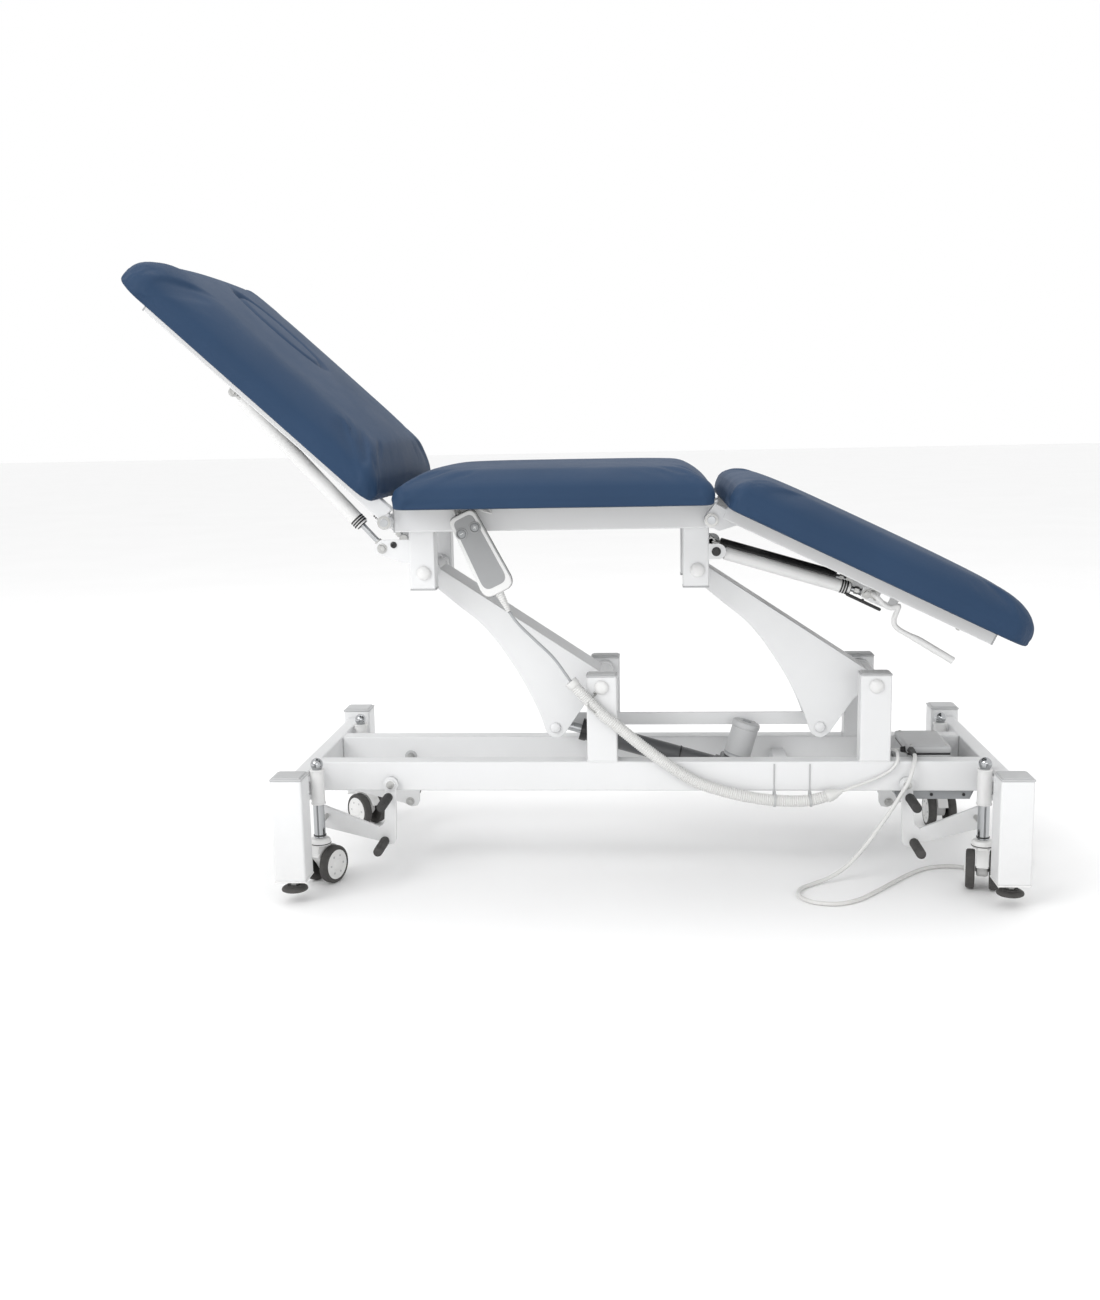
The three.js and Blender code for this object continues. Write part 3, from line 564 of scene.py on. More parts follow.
def build_base():
    side_rail("near", -1)
    side_rail("far", 1)
    for end_name, end in (("head", -1), ("foot", 1)):
        end_beam(end_name, end)
        for side_name, side in sides():
            leveling_foot(end_name, end, side_name, side)
    cross = Piece("actuator_bracket", HOME, "powder", "zinc")
    cross.block(262, 292, -90, 90, 172, 202, 3)
    lug = [(264, 147), (264, 200), (240, 176)] + arc(240, 158, 13, 110, 270) + [(250, 145)]
    for y0 in (-22, 15):
        cross.plate(lug, y0, y0 + 7)
    cross.rod((240, -26, 158), (240, 26, 158), 6, 1)
    for s in (-1, 1):
        cross.bolt((240, s * 22, 158), (0, s, 0), 9, 1, 5)
        cross.weld([(262, s * 89.4, 173), (262, s * 89.4, 201)], 1.5)
    cross.done("base", "white_frame", "actuator_cross_tube")
    control_box()


def control_box():
    box = Piece("control_box_case", HOME, "pale", "black", "grey", "zinc")
    box.block(520, 606, -72, 72, 160, 226, 4.5, segments=4)
    box.block(519.2, 606.8, -72.8, 72.8, 227.4, 243, 5.5, segments=4)
    box.block(521, 605, -71, 71, 225, 229, 0.8, 1)
    for x in (529, 597):
        for y in (-63, 63):
            box.screw((x, y, 242.6), (0, 0, 1), 3.6, 3)
    # folded tray under the rails
    tray = [(486, 166.4), (487.5, 166.4), (495.5, 149.8), (632.5, 149.8), (640.5, 166.4), (642, 166.4),
            (634, 148), (494, 148)]
    box.plate(tray, -118, 118, 0.5, 2)
    for y in (-117.2, 115.8):
        box.plate([(496, 149), (632, 149), (639, 165), (489, 165)], y, y + 1.4, 0.4, 2)
    for x in (505, 560, 622):
        for side in (-1, 1):
            box.screw((x, side * 104, 148.2), (0, 0, -1), 4.4, 1)
            box.screw((x, side * 118.2, 157), (0, side, 0), 3.2, 1)
    # two cable glands: hexagon, dome nut and a ribbed sleeve
    for at, axis, r in (((520, -52, 232), (-1, 0, 0), 5.4), ((527, -72.5, 235), (0, -1, 0), 6.4)):
        box.turned([(0, 0), (r * 1.25, 0), (r * 1.25, 3.2), (r * 1.05, 4.0), (0, 4.0)], at, axis, 6, 1)
        box.turned([(0, 3), (r * 1.1, 3), (r * 1.12, 7), (r * 0.85, 10), (0, 10)], at, axis, 28, 1)
    box.done("base", "grey_plastic", "control_box")


# ------------------------------------------------------------------ lift
ARM_LENGTH = 413.5


def arm_outline():
    points = [(14, -8)] + bezier((14, -8), (16, 11), (-4, 11))
    points += [(-ARM_LENGTH - 6, 11)] + arc(-ARM_LENGTH - 6, -4, 15, 90, 225, 12)[1:]
    points.append((-ARM_LENGTH + 30, -26))
    belly = [(-ARM_LENGTH + 30, -26), (-322, -33), (-272, -38), (-228, -50), (-197, -62), (-148, -84),
             (-104, -108), (-69, -130), (-46, -148)]
    points += [(p.x, p.z) for p in smooth_path([(x, 0, z) for x, z in belly], 12)[1:]]
    points += bezier(points[-1], (-30, -162), (-14, -154))
    points += bezier((-14, -154), (-4, -146), (-4, -124))
    points += [(-3, -50)] + bezier((-3, -50), (4, -26), (14, -8))[:-1]
    return points


def lift_arm(name, where, body, node):
    arm = Piece(name, where, "powder", "zinc", "black")
    outline = arm_outline()
    for y0 in (-50, 44):
        arm.plate(outline, y0, y0 + 6, 1.6)
    arm.block(-ARM_LENGTH + 10, -6, -47, 47, 5.5, 11, 2.4)
    for x in (0, -ARM_LENGTH):
        boss = [(10.4, -88), (16.8, -88), (18, -86.8), (18, 86.8), (16.8, 88), (10.4, 88)]
        arm.turned(boss, (x, 0, 0), (0, 1, 0), 44)
        for s in (-1, 1):
            ring = [Vector((x + 18.2 * math.cos(k * 0.2618), s * 50.2, 18.2 * math.sin(k * 0.2618)))
                    for k in range(25)]
            arm.tube(ring, 1.5, 8, caps=False)
            arm.turned([(10.2, 0), (15.5, 0), (15.5, 1.6), (10.2, 1.6)], (x, s * 88, 0), (0, s, 0), 40, 2)
    x, z = -27.2, -135.9
    for y0, y1, s in ((-50, -16, -1), (28, 50, 1)):
        arm.rod((x, y0, z), (x, y1, z), 8 if s < 0 else 6, 1)
        cap = [(0, 0), (10.8, 0), (11, 3), (9.4, 6), (5.5, 7.6), (0, 8)]
        arm.turned(cap, (x, s * 50, z), (0, s, 0), 36)
    arm.done(body, "white_frame", node)


def axle(node, at, body):
    made = Piece(node + "_pin", place(at), "steel", "plastic")
    made.rod((0, -131, 0), (0, 131, 0), 10, 0)
    for s in (-1, 1):
        cap = [(0, -0.2), (12.6, -0.2), (13.8, 0.8), (14, 2.2), (12.8, 4.2), (10.2, 6.2), (6.2, 7.7),
               (2.4, 8.3), (0, 8.4)]
        made.turned(cap, (0, s * 130.4, 0), (0, s, 0), 40, 1)
    made.done(body, "white_plastic", node)


def build_lift():
    lift_arm("head_arm_sheet", ARM, "head_arm", "head_lift_arm")
    lift_arm("foot_arm_sheet", FOOT_ARM, "foot_arm", "foot_lift_arm")
    spacing = pivot("lift_foot_arm") - pivot("lift")
    axle("head_arm_lower_axle", pivot("lift"), "base")
    axle("foot_arm_lower_axle", pivot("lift_foot_arm"), "base")
    axle("head_arm_upper_axle", pivot("lift_upper_frame"), "upper_frame")
    axle("foot_arm_upper_axle", pivot("lift_upper_frame") + spacing, "upper_frame")

    tie = Piece("tie_bar_flat", place(pivot("lift_tie_bar")), "powder", "zinc")
    far = spacing.x / MM
    outline = arc(0, 0, 15, 60, 300, 14) + arc(far, 0, 15, 240, 480, 14)
    tie.plate(outline, 31, 39, 1.4)
    for x in (0, far):
        tie.turned([(6.4, 0), (11, 0), (11, 1.2), (6.4, 1.2)], (x, 39, 0), (0, 1, 0), 32, 1)
    tie.done("tie_bar", "white_frame", "tie_bar")

    housing = Piece("actuator_case", ACTUATOR, "dark", "black", "zinc")
    housing.block(-95, -62, -26, 26, -29, 30, 6, segments=4)
    housing.block(-61.2, -28, -26, 26, -29, 30, 6, segments=4)
    housing.block(-63, -60, -24.8, 24.8, -27.8, 28.8, 2, 1)
    housing.block(-30, 0, -12, 12, -13, 13, 3)
    housing.rod((0, -12, 0), (0, 12, 0), 13.2, 0)
    for y in (-19, 19):
        for z in (-22, 23):
            housing.screw((-28.4, y, z), (1, 0, 0), 3.4, 2)
    tube = [(11, -385.5), (18.8, -385.5), (20.5, -384), (20.5, -106), (23.5, -104), (23.5, -94), (0, -94)]
    housing.turned([(10.9, -386)] + tube, (0, 0, 0), (1, 0, 0), 48)
    seal = [(10.9, 0), (22.2, 0), (22.6, 1.2), (22.6, 12), (21.4, 14), (20.6, 14)]
    housing.turned(seal, (-387, 0, 0), (1, 0, 0), 48, 1)
    housing.turned([(20.4, 0), (21.6, 0.6), (21.6, 3.4), (20.4, 4)], (-180, 0, 0), (1, 0, 0), 48, 1)
    housing.done("actuator_body", "dark_metal", "actuator_housing")

    motor = Piece("actuator_motor_can", ACTUATOR, "pale", "grey", "zinc")
    can = [(0, 30.3), (25.5, 30.3), (27, 31.6), (27, 93.5), (26.2, 94.4), (26.2, 95.6), (28.2, 96.4),
           (28.5, 98), (28.5, 103.5), (27, 106.4), (23, 107.6), (0, 107.6)]
    motor.turned(can, (-63.4, 0, 0), (0, 0, 1), 56)
    motor.turned([(27.05, 0), (27.7, 0.5), (27.7, 2.5), (27.05, 3)], (-63.4, 0, 36), (0, 0, 1), 56, 1)
    motor.turned([(0, 0), (9, 0), (9, 1.2), (7, 2), (0, 2)], (-63.4, 0, 107.4), (0, 0, 1), 32, 1)
    for a in (0.6, 0.6 + math.pi):
        motor.screw((-63.4 + 20 * math.cos(a), 20 * math.sin(a), 107.4), (0, 0, 1), 2.8, 2)
    motor.done("actuator_body", "grey_plastic", "actuator_motor")

    rod = Piece("actuator_piston", ACTUATOR, "steel", "zinc")
    rod.rod((-432, 0, 0), (-296, 0, 0), 9.6, 0)
    eye = [(8.4, -12), (13.6, -12), (15, -10.6), (15, 10.6), (13.6, 12), (8.4, 12), (8.4, -12)]
    rod.turned(eye, (-438.9, 0, 0), (0, 1, 0), 40, 1)
    rod.turned([(9.6, 0), (12.5, 0.8), (12.5, 8), (9.6, 9)], (-426, 0, 0), (1, 0, 0), 6, 1)
    rod.done("actuator_rod", "steel", "actuator_rod")


# ------------------------------------------------------------------ seat section
def build_seat():
    seat = Piece("seat_frame_tubes", HOME, "powder", "pale", "zinc", "black")
    legs = (-431, 101)
    for _, side in sides():
        y0, y1 = span(side, 135, 165)
        seat.block(-478, 142, y0, y1, 689, 739.7, 3.2)
        for x in (-478.6, 139.4):
            seat.block(x, x + 3.2, y0 - 0.5, y1 + 0.5, 688.6, 739.9, 1.2, 1)
        seat.block(-504, -474, *span(side, 139, 161), 696, 724, 3)
        for x in legs:
            inner, outer = span(side, *RAIL)
            seat.block(x - 25, x + 25, inner, outer, 574, 705, 3.2)
            seat.block(x - 25.5, x + 25.5, inner - 0.5, outer + 0.5, 571.6, 575, 1.3, 1)
            seat.block(x - 25, x + 25, *span(side, 128, 136), 690, 704, 1)
            seat.weld([(x - 25, side * 135, 690), (x + 25, side * 135, 690)], 1.4)
        p0, p1 = span(side, 125, 129)
        seat.plate([(-522, 662), (-512, 672), (-450, 672), (-450, 627), (-470, 627), (-522, 646)], p0, p1)
        seat.plate([(120, 626), (120, 656), (144, 656)] + arc(144, 641, 15, 80, -80, 8) + [(140, 626)], p0,
                   p1)
        seat.bolt((-509, side * 129, 655), (0, side, 0), 7.4, 2, 4.2)
        seat.bolt((140, side * 129, 641), (0, side, 0), 6.6, 3, 4.6)
        seat.screw((-486, side * 129, 662), (0, side, 0), 6.5, 3)
        seat.rod((140, side * 102, 641), (140, side * 126, 641), 5, 2)
    for x in legs:
        seat.block(x - 25, x + 25, -136, 136, 699, 739.7, 3.2)
    seat.done("upper_frame", "white_frame", "seat_frame")
    for joint, node in (("backrest", "back_hinge_rod"), ("leg_rest", "leg_hinge_rod")):
        rod = Piece(node + "_pin", place(pivot(joint)), "steel", "zinc")
        rod.rod((0, -200, 0), (0, 200, 0), 8, 0)
        for s in (-1, 1):
            rod.turned([(8, 0), (13, 0.1), (13, 1.5), (8, 1.6)], (0, s * 195.6, 0), (0, s, 0), 32, 1)
            rod.turned([(8, 0), (10.8, 0.2), (10.8, 1.2), (8, 1.4)], (0, s * 197.6, 0), (0, s, 0), 24, 1)
        rod.done("upper_frame", "steel", node)


def strut(name, where, d, length, split, tube_r, tube_at_foot, finish):
    """A gas strut from its lower pin, along X in the direction d (1 or -1). split is where the rod leaves."""
    tail = 45
    low, high = (18, split) if tube_at_foot else (split, length - 18)
    eye_tube, eye_rod = (0, length) if tube_at_foot else (length, 0)
    body = Piece(name + "_tube", where, finish, "black", "zinc")
    axis = (d, 0, 0)
    shell = [(6.4, low), (tube_r - 1.2, low), (tube_r, low + 1.4), (tube_r, high - 1.4),
             (tube_r - 1.2, high), (6.4, high)]
    body.turned(shell, (0, 0, 0), axis, 40)
    mouth = high if tube_at_foot else low
    for k in range(3):
        at = mouth - 9 - 5 * k if tube_at_foot else mouth + 3 + 5 * k
        ring_r, groove_r = tube_r + 0.9, tube_r - 0.2
        ring = [(groove_r, at), (ring_r, at + 0.6), (ring_r, at + 3.0), (groove_r, at + 3.6)]
        body.turned(ring, (0, 0, 0), axis, 40, 1)
    seal = [(6.2, mouth - 1.2), (tube_r - 1.6, mouth - 1.2), (tube_r - 2.4, mouth + 1.2), (6.2, mouth + 1.2)]
    body.turned(seal, (0, 0, 0), axis, 36, 1)
    n0, n1 = (2, 24) if tube_at_foot else (length - 24, length - 2)
    body.turned([(0, n0), (6.4, n0), (6.4, n1), (0, n1)], (0, 0, 0), axis, 24, 2)
    eye = [(5.4, -6), (8.2, -6), (9, -5.2), (9, 5.2), (8.2, 6), (5.4, 6), (5.4, -6)]
    body.turned(eye, (d * eye_tube, 0, 0), (0, 1, 0), 36, 2)
    # the black finish here is painted shade: the far leg strut is drawn black because it lies in shade
    slot = {"plastic": "white_plastic", "black": "black_plastic"}[finish]
    body.done(name + "_cylinder", slot, name + "_cylinder")
    rod = Piece(name + "_piston", where, "steel", "zinc")
    a, b = (split - tail, length - 6) if tube_at_foot else (6, split + tail)
    rod.turned([(0, a), (4.7, a), (5.5, a + 0.8), (5.5, b - 0.8), (4.7, b), (0, b)], (0, 0, 0), axis, 32)
    boss = [(0, -6), (8.2, -6), (9, -5.2), (9, 5.2), (8.2, 6), (0, 6)]
    rod.turned(boss, (d * eye_rod, 0, 0), (0, 1, 0), 36, 1)
    n = length - 22 if tube_at_foot else 10
    rod.turned([(5.4, n), (7.6, n), (7.6, n + 9), (5.4, n + 9)], (0, 0, 0), axis, 6, 1)
    rod.done(name + "_rod", "steel", name + "_rod")


# ------------------------------------------------------------------ backrest and leg rest frames
BACK_STRUT = 416.2                # length from pin to pin where the table stands
LEG_STRUT = 298.4


def build_back():
    back = Piece("back_frame_tubes", BACK, "powder", "pale", "zinc", "black")
    for _, side in sides():
        y = span(side, 170, 195)
        back.block(-599, -6, *y, -2, 29.7, 2.8)
        back.block(-601, -598, y[0] - 0.4, y[1] + 0.4, -2.4, 29.9, 1.2, 1)
        boss = [(8.4, -12.9), (12.8, -12.9), (14, -11.7), (14, 11.7), (12.8, 12.9), (8.4, 12.9), (8.4, -12.9)]
        back.turned(boss, (0, side * 182.5, 0), (0, 1, 0), 40)
        back.block(-14, -1, *span(side, 170.6, 194.4), -12, 18, 3)
        back.plate([(-401, -16), (-401, 6), (-382, 6), (-382, -16)] + arc(-391.5, -17.6, 9.5, 0, -180, 10),
                   *span(side, 120, 125), 0.7)
        back.rod((-391.4, side * 102, -17.6), (-391.4, side * 124, -17.6), 5, 2)
        back.bolt((-391.4, side * 125, -17.6), (0, side, 0), 6.6, 2, 4)
        back.screw((-590, side * 195.2, 14), (0, side, 0), 4.2, 3)
    for x in (-150, -396, -585):
        back.block(x, x + 25, -171, 171, 4.7, 29.7, 2.6)
        for _, side in sides():
            back.weld([(x, side * 169.6, 5), (x + 25, side * 169.6, 5)], 1.3)
    back.done("back_section", "white_frame", "back_frame")
    for side_name, side in sides():
        upper = pivot(f"back_strut_{side_name}_pivot")
        along = Vector(JOINTS[f"back_strut_{side_name}_stroke"]["axis"])
        where = place(upper + along * (BACK_STRUT * MM), slope_of(f"back_strut_{side_name}_stroke"))
        strut(f"back_strut_{side_name}", where, -1, BACK_STRUT, 62, 14, False, "plastic")


def build_leg():
    foot = Vector((12, 0, -65))
    foot.rotate(Matrix.Rotation(math.radians(-LEG_ANGLE), 3, "Y"))
    tilt = math.radians(slope_of("leg_strut_near_stroke") - LEG_ANGLE)
    # the strut's pin on the leg frame
    px, pz = foot.x + LEG_STRUT * math.cos(tilt), foot.z - LEG_STRUT * math.sin(tilt)
    leg = Piece("leg_frame_tubes", LEG, "powder", "pale", "zinc", "black")
    for _, side in sides():
        y = span(side, 170, 195)
        leg.block(16, 571, *y, 11, 35.7, 2.8)
        leg.block(570, 573, y[0] - 0.4, y[1] + 0.4, 10.6, 35.9, 1.2, 1)
        ear = arc(0, 0, 13.5, 160, 290, 10) + [(22, -12), (48, 12), (48, 30), (-8, 30)]
        leg.plate(ear, *span(side, 170.6, 194.4), 1.6)
        hanger = [(px - 12, pz + 10), (px - 8, pz - 9), (px + 12, pz - 11), (px + 54, pz - 9),
                  (px + 58, pz - 5), (px + 62, 12), (px + 44, 12), (px + 44, pz + 2), (px + 24, pz + 2),
                  (px + 24, 12), (px + 6, 12)]
        leg.plate(hanger, *span(side, 125, 129), 0.6)
        leg.bolt((px, side * 129, pz), (0, side, 0), 7.0, 2, 4)
        leg.screw((px + 18, side * 129, pz - 2), (0, side, 0), 3.6, 2)
        leg.screw((px - 2, side * 129, pz - 14), (0, side, 0), 3.0, 3)
        leg.screw((505, side * 182, 11), (0, 0, -1), 4.4, 2)
        leg.block(px - 34, px + 40, *span(side, 112, 122), pz - 20, pz - 14, 2.4, 3)
    for x in (110, px + 12, 545):
        leg.block(x, x + 25, -171, 171, 11, 35.7, 2.6)
        for _, side in sides():
            leg.weld([(x, side * 169.6, 11.2), (x + 25, side * 169.6, 11.2)], 1.3)
    leg.done("leg_section", "white_frame", "leg_frame")
    # the far leg strut is the same strut as the near white one, coloured black as painted shade
    for side_name, finish in (("near", "plastic"), ("far", "black")):
        where = place(pivot(f"leg_strut_{side_name}_pivot"), slope_of(f"leg_strut_{side_name}_stroke"))
        strut(f"leg_strut_{side_name}", where, 1, LEG_STRUT, 268, 12.5, True, finish)

    def grip(s):
        """The radius s millimetres along: bare wire, a thicker sleeve from 150 on, its end rounded off."""
        if s < 262:
            return 5.0 + 2.0 / (1 + math.exp(-(s - 150) / 4))
        return 7.0 * max(0.35, 1 - ((s - 262) / 18) ** 2) ** 0.5

    handle = Piece("release_lever", LEG, "plastic", "zinc")
    wire = [(px + 10, -129.6, pz + 6), (px + 10, -138, pz + 6), (px + 18, -147, pz + 3),
            (px + 34, -149, pz - 3), (px + 50, -150, pz - 3), (px + 60, -150, pz + 6),
            (px + 62, -150, pz - 4), (px + 64, -150, pz - 20), (px + 72, -150, pz - 31),
            (px + 130, -150, pz - 37), (px + 200, -150, pz - 44)]
    line = smooth_path(wire, 2.5)
    handle.tube(line, grip, 20)
    handle.bolt((px + 10, -129.2, pz + 6), (0, -1, 0), 7.5, 1, 3)
    handle.done("release_handle", "white_plastic", "release_handle")


# ------------------------------------------------------------------ cushions
HALF_WIDTH = 337
VOXEL = 0.0055
HOLE = {"x": -425, "long": 220, "wide": 125}


def rounded(t, power=2.3):
    t = min(max(t, 0.0), 1.0)
    return (1 - (1 - t) ** power) ** (1 / power)


def cushion_mesh(name, x0, x1, half, corner, bottom, top, edge, ends, crown):
    """A closed crowned slab: x along it, y across it, z through it, rounded by the distance from its outline.
    corner is the plan radius at each end, edge the roundness of the long sides above and below, and ends that
    of the two ends."""
    step = 9.0
    nx, ny = int((x1 - x0) / step), int(2 * half / step)
    middle = bottom + 0.30 * (top - bottom)
    bm = bmesh.new()
    faces = []
    for upper in (True, False):
        grid = []
        for i in range(nx + 1):
            row = []
            for j in range(ny + 1):
                # closer rows near the outline, where the surface turns
                u = 0.5 - 0.5 * math.cos(math.pi * i / nx)
                v = -math.cos(math.pi * j / ny)
                u = 0.45 * u + 0.55 * i / nx
                v = 0.45 * v + 0.55 * (2 * j / ny - 1)
                x, y = x0 + (x1 - x0) * u, half * v
                end = 0 if u < 0.5 else 1
                r = corner[end]
                side_soft, end_soft = (edge[0], ends[end]) if upper else (edge[1], edge[1])
                cx = x0 + r if u < 0.5 else x1 - r
                cy = math.copysign(half - r, y)
                inside_end = (x - x0) if u < 0.5 else (x1 - x)
                if inside_end < r and half - abs(y) < r:
                    reach = math.hypot(x - cx, y - cy)
                    if reach > r:
                        x, y = cx + (x - cx) * r / reach, cy + (y - cy) * r / reach
                    gap = max(0.0, r - math.hypot(x - cx, y - cy))
                    share = math.atan2(abs(y - cy), abs(x - cx)) / (math.pi / 2)
                    form = (1 - share) * rounded(gap / end_soft) * rounded(r / side_soft)
                    form += share * rounded(gap / side_soft) * rounded(r / end_soft)
                else:
                    side_gap, end_gap = half - abs(y), (x - x0 if u < 0.5 else x1 - x)
                    form = rounded(side_gap / side_soft) * rounded(end_gap / end_soft)
                if upper:
                    swell = crown * (1 - (y / half) ** 2) * (1 - (2 * u - 1) ** 4)
                    z = middle + (top - middle + swell) * form
                else:
                    z = middle - (middle - bottom) * form
                row.append(bm.verts.new((x, y, z)))
            grid.append(row)
        for i in range(nx):
            for j in range(ny):
                q = (grid[i][j], grid[i + 1][j], grid[i + 1][j + 1], grid[i][j + 1])
                faces.append(bm.faces.new(q if upper else q[::-1]))
    bmesh.ops.remove_doubles(bm, verts=bm.verts[:], dist=0.05)
    mesh = bpy.data.meshes.new(name)
    bm.to_mesh(mesh)
    bm.free()
    return put(name, mesh)


def apply_modifiers(piece):
    graph = bpy.context.evaluated_depsgraph_get()
    mesh = bpy.data.meshes.new_from_object(piece.evaluated_get(graph))
    piece.modifiers.clear()
    old = piece.data
    piece.data = mesh
    bpy.data.meshes.remove(old)


def remesh(piece, voxel):
    piece.data.transform(Matrix.Scale(MM, 4))
    grid = piece.modifiers.new("grid", "REMESH")
    grid.mode = "VOXEL"
    grid.voxel_size = voxel
    apply_modifiers(piece)


def inflate(piece, floor, cap, pressure=4.0):
    """Swells the closed shell by cloth simulation, its underside held to the board, and caps the movement."""
    before = [v.co.copy() for v in piece.data.vertices]
    held = piece.vertex_groups.new(name="board")
    held.add([v.index for v in piece.data.vertices if v.co.z < floor + 0.004], 1.0, "REPLACE")
    cloth = piece.modifiers.new("cloth", "CLOTH")
    s = cloth.settings
    s.quality = 5
    s.mass = 0.25
    s.use_pressure = True
    s.uniform_pressure_force = pressure
    s.tension_stiffness = s.compression_stiffness = 22
    s.shear_stiffness = 12
    s.bending_stiffness = 1.6
    s.vertex_group_mass = "board"
    s.effector_weights.gravity = 0
    cloth.collision_settings.use_collision = False
    scene = bpy.context.scene
    for number in range(1, 21):
        scene.frame_set(number)
    apply_modifiers(piece)
    scene.frame_set(1)
    for vertex, start in zip(piece.data.vertices, before):
        move = vertex.co - start
        far = move.length
        if far > 1e-9:
            # eases towards the cap instead of stopping dead at it
            vertex.co = start + move * (cap * math.tanh(far / cap) / far)
    piece.vertex_groups.clear()


def pucker(piece, bottom, top, size):
    """Soft gathers where the cover is drawn over the lower edge, and slight unevenness all over."""
    deep = top - bottom
    normals = [v.normal.copy() for v in piece.data.vertices]
    for v, normal in zip(piece.data.vertices, normals):
        low = 1 - min(1.0, max(0.0, (v.co.z - bottom) / (deep * 0.5)))
        gather = noise.noise(Vector((v.co.x * 42, v.co.y * 42, v.co.z * 10)))
        broad = noise.noise(Vector((v.co.x * 7, v.co.y * 7, v.co.z * 7 + 5)))
        v.co += normal * (gather * low * (1 if v.co.z > bottom + 0.002 else 0) * size + broad * size * 0.35)


def cushion(name, x0, x1, bottom, top, corner, edge, ends, crown, cap, lean=None):
    """lean(x, z) moves a point along x, for an end that follows its neighbour."""
    made = cushion_mesh(name, x0, x1, HALF_WIDTH, corner, bottom, top, edge, ends, crown)
    remesh(made, VOXEL)
    inflate(made, bottom * MM, cap * MM)
    pucker(made, bottom * MM, top * MM, 0.0008)
    if lean:
        for v in made.data.vertices:
            v.co.x += lean(v.co.x / MM, v.co.z / MM) * MM
    for m in ("vinyl", "underlay"):
        made.data.materials.append(M[m])
    for p in made.data.polygons:
        p.use_smooth = True
        c = p.center / MM
        inside = min(c.x - x0, x1 - c.x, HALF_WIDTH - abs(c.y))
        if p.normal.z < -0.8 and c.z < bottom + 2.5 and inside > 26:
            p.material_index = 1
    return made


def settle(made, where, subdivide=True):
    """Moves a cushion from its section's frame into the scene."""
    made.data.transform(where @ Matrix.Scale(1 / MM, 4))
    if subdivide:
        fine = made.modifiers.new("fine", "SUBSURF")
        fine.levels = fine.render_levels = 1


def oval_cutter(grow, low, high):
    bm = bmesh.new()
    ring = []
    for k in range(72):
        a = 2 * math.pi * k / 72
        ring.append(bm.verts.new(((HOLE["x"] + (HOLE["long"] / 2 + grow) * math.cos(a)) * MM,
                                  (HOLE["wide"] / 2 + grow) * math.sin(a) * MM, low * MM)))
    face = bm.faces.new(ring)
    top = bmesh.ops.extrude_face_region(bm, geom=[face])
    moved = [v for v in top["geom"] if isinstance(v, bmesh.types.BMVert)]
    bmesh.ops.translate(bm, vec=(0, 0, (high - low) * MM), verts=moved)
    bmesh.ops.recalc_face_normals(bm, faces=bm.faces[:])
    mesh = bpy.data.meshes.new("cutter")
    bm.to_mesh(mesh)
    bm.free()
    mesh.materials.append(M["vinyl"])
    return put("cutter", mesh)


def boolean(piece, cutter, operation):
    cut = piece.modifiers.new("cut", "BOOLEAN")
    cut.operation = operation
    cut.solver = "EXACT"
    cut.object = cutter
    bpy.context.view_layer.update()
    apply_modifiers(piece)
    bpy.data.objects.remove(cutter)


def sink_rim(piece, bottom, depth, width):
    """Draws the cover down along the face hole's outline, deeper at the head end."""
    for v in piece.data.vertices:
        if v.co.z / MM < bottom + 25:
            continue
        x, y = v.co.x / MM - HOLE["x"], v.co.y / MM
        a = math.atan2(y / HOLE["wide"], x / HOLE["long"])
        rim = math.hypot(HOLE["long"] / 2 * math.cos(a), HOLE["wide"] / 2 * math.sin(a))
        gap = abs(math.hypot(x, y) - rim)
        head = 1 + 0.6 * max(0.0, -math.cos(a)) ** 3
        v.co.z -= depth * MM * head * math.exp(-((gap / width) ** 2))


def build_cushions():
    seat = cushion("seat_cushion", -459, 136, 740.2, 801, (34, 30), (66, 16), (100, 74), 9, 7)
    settle(seat, HOME)
    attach(seat, "upper_frame")
    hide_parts("seat_pad")

    def back_lean(x, z):
        near = min(1.0, max(0.0, (x + 150) / 120))
        return near * near * (16 - 0.66 * max(0.0, z - 48))

    back = cushion("back_cushion", -643, -38, 30.2, 98, (72, 40), (104, 16), (58, 62), 14, 8, back_lean)
    sink_rim(back, 30, 7.5, 10)
    plug = back.copy()
    plug.data = back.data.copy()
    plug.name = plug.data.name = "face_hole_cushion"
    bpy.context.scene.collection.objects.link(plug)
    boolean(back, oval_cutter(0.3, 10, 140), "DIFFERENCE")
    boolean(plug, oval_cutter(-1.0, 31.5, 140), "INTERSECT")
    for made in (back, plug):
        for p in made.data.polygons:
            p.use_smooth = True
        made.data.set_sharp_from_angle(angle=math.radians(50))
        settle(made, BACK, subdivide=False)
    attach(plug, "face_hole_plug")
    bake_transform(back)
    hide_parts("back_pad")
    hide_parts("face_hole_plug")

    def leg_lean(x, z):
        near = min(1.0, max(0.0, (110 - x) / 110))
        return -near * near * 0.30 * max(0.0, z - 50)

    leg = cushion("leg_cushion", 1, 611, 36.2, 103, (34, 66), (66, 16), (56, 100), 10, 7, leg_lean)
    settle(leg, LEG)
    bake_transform(leg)
    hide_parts("leg_pad")


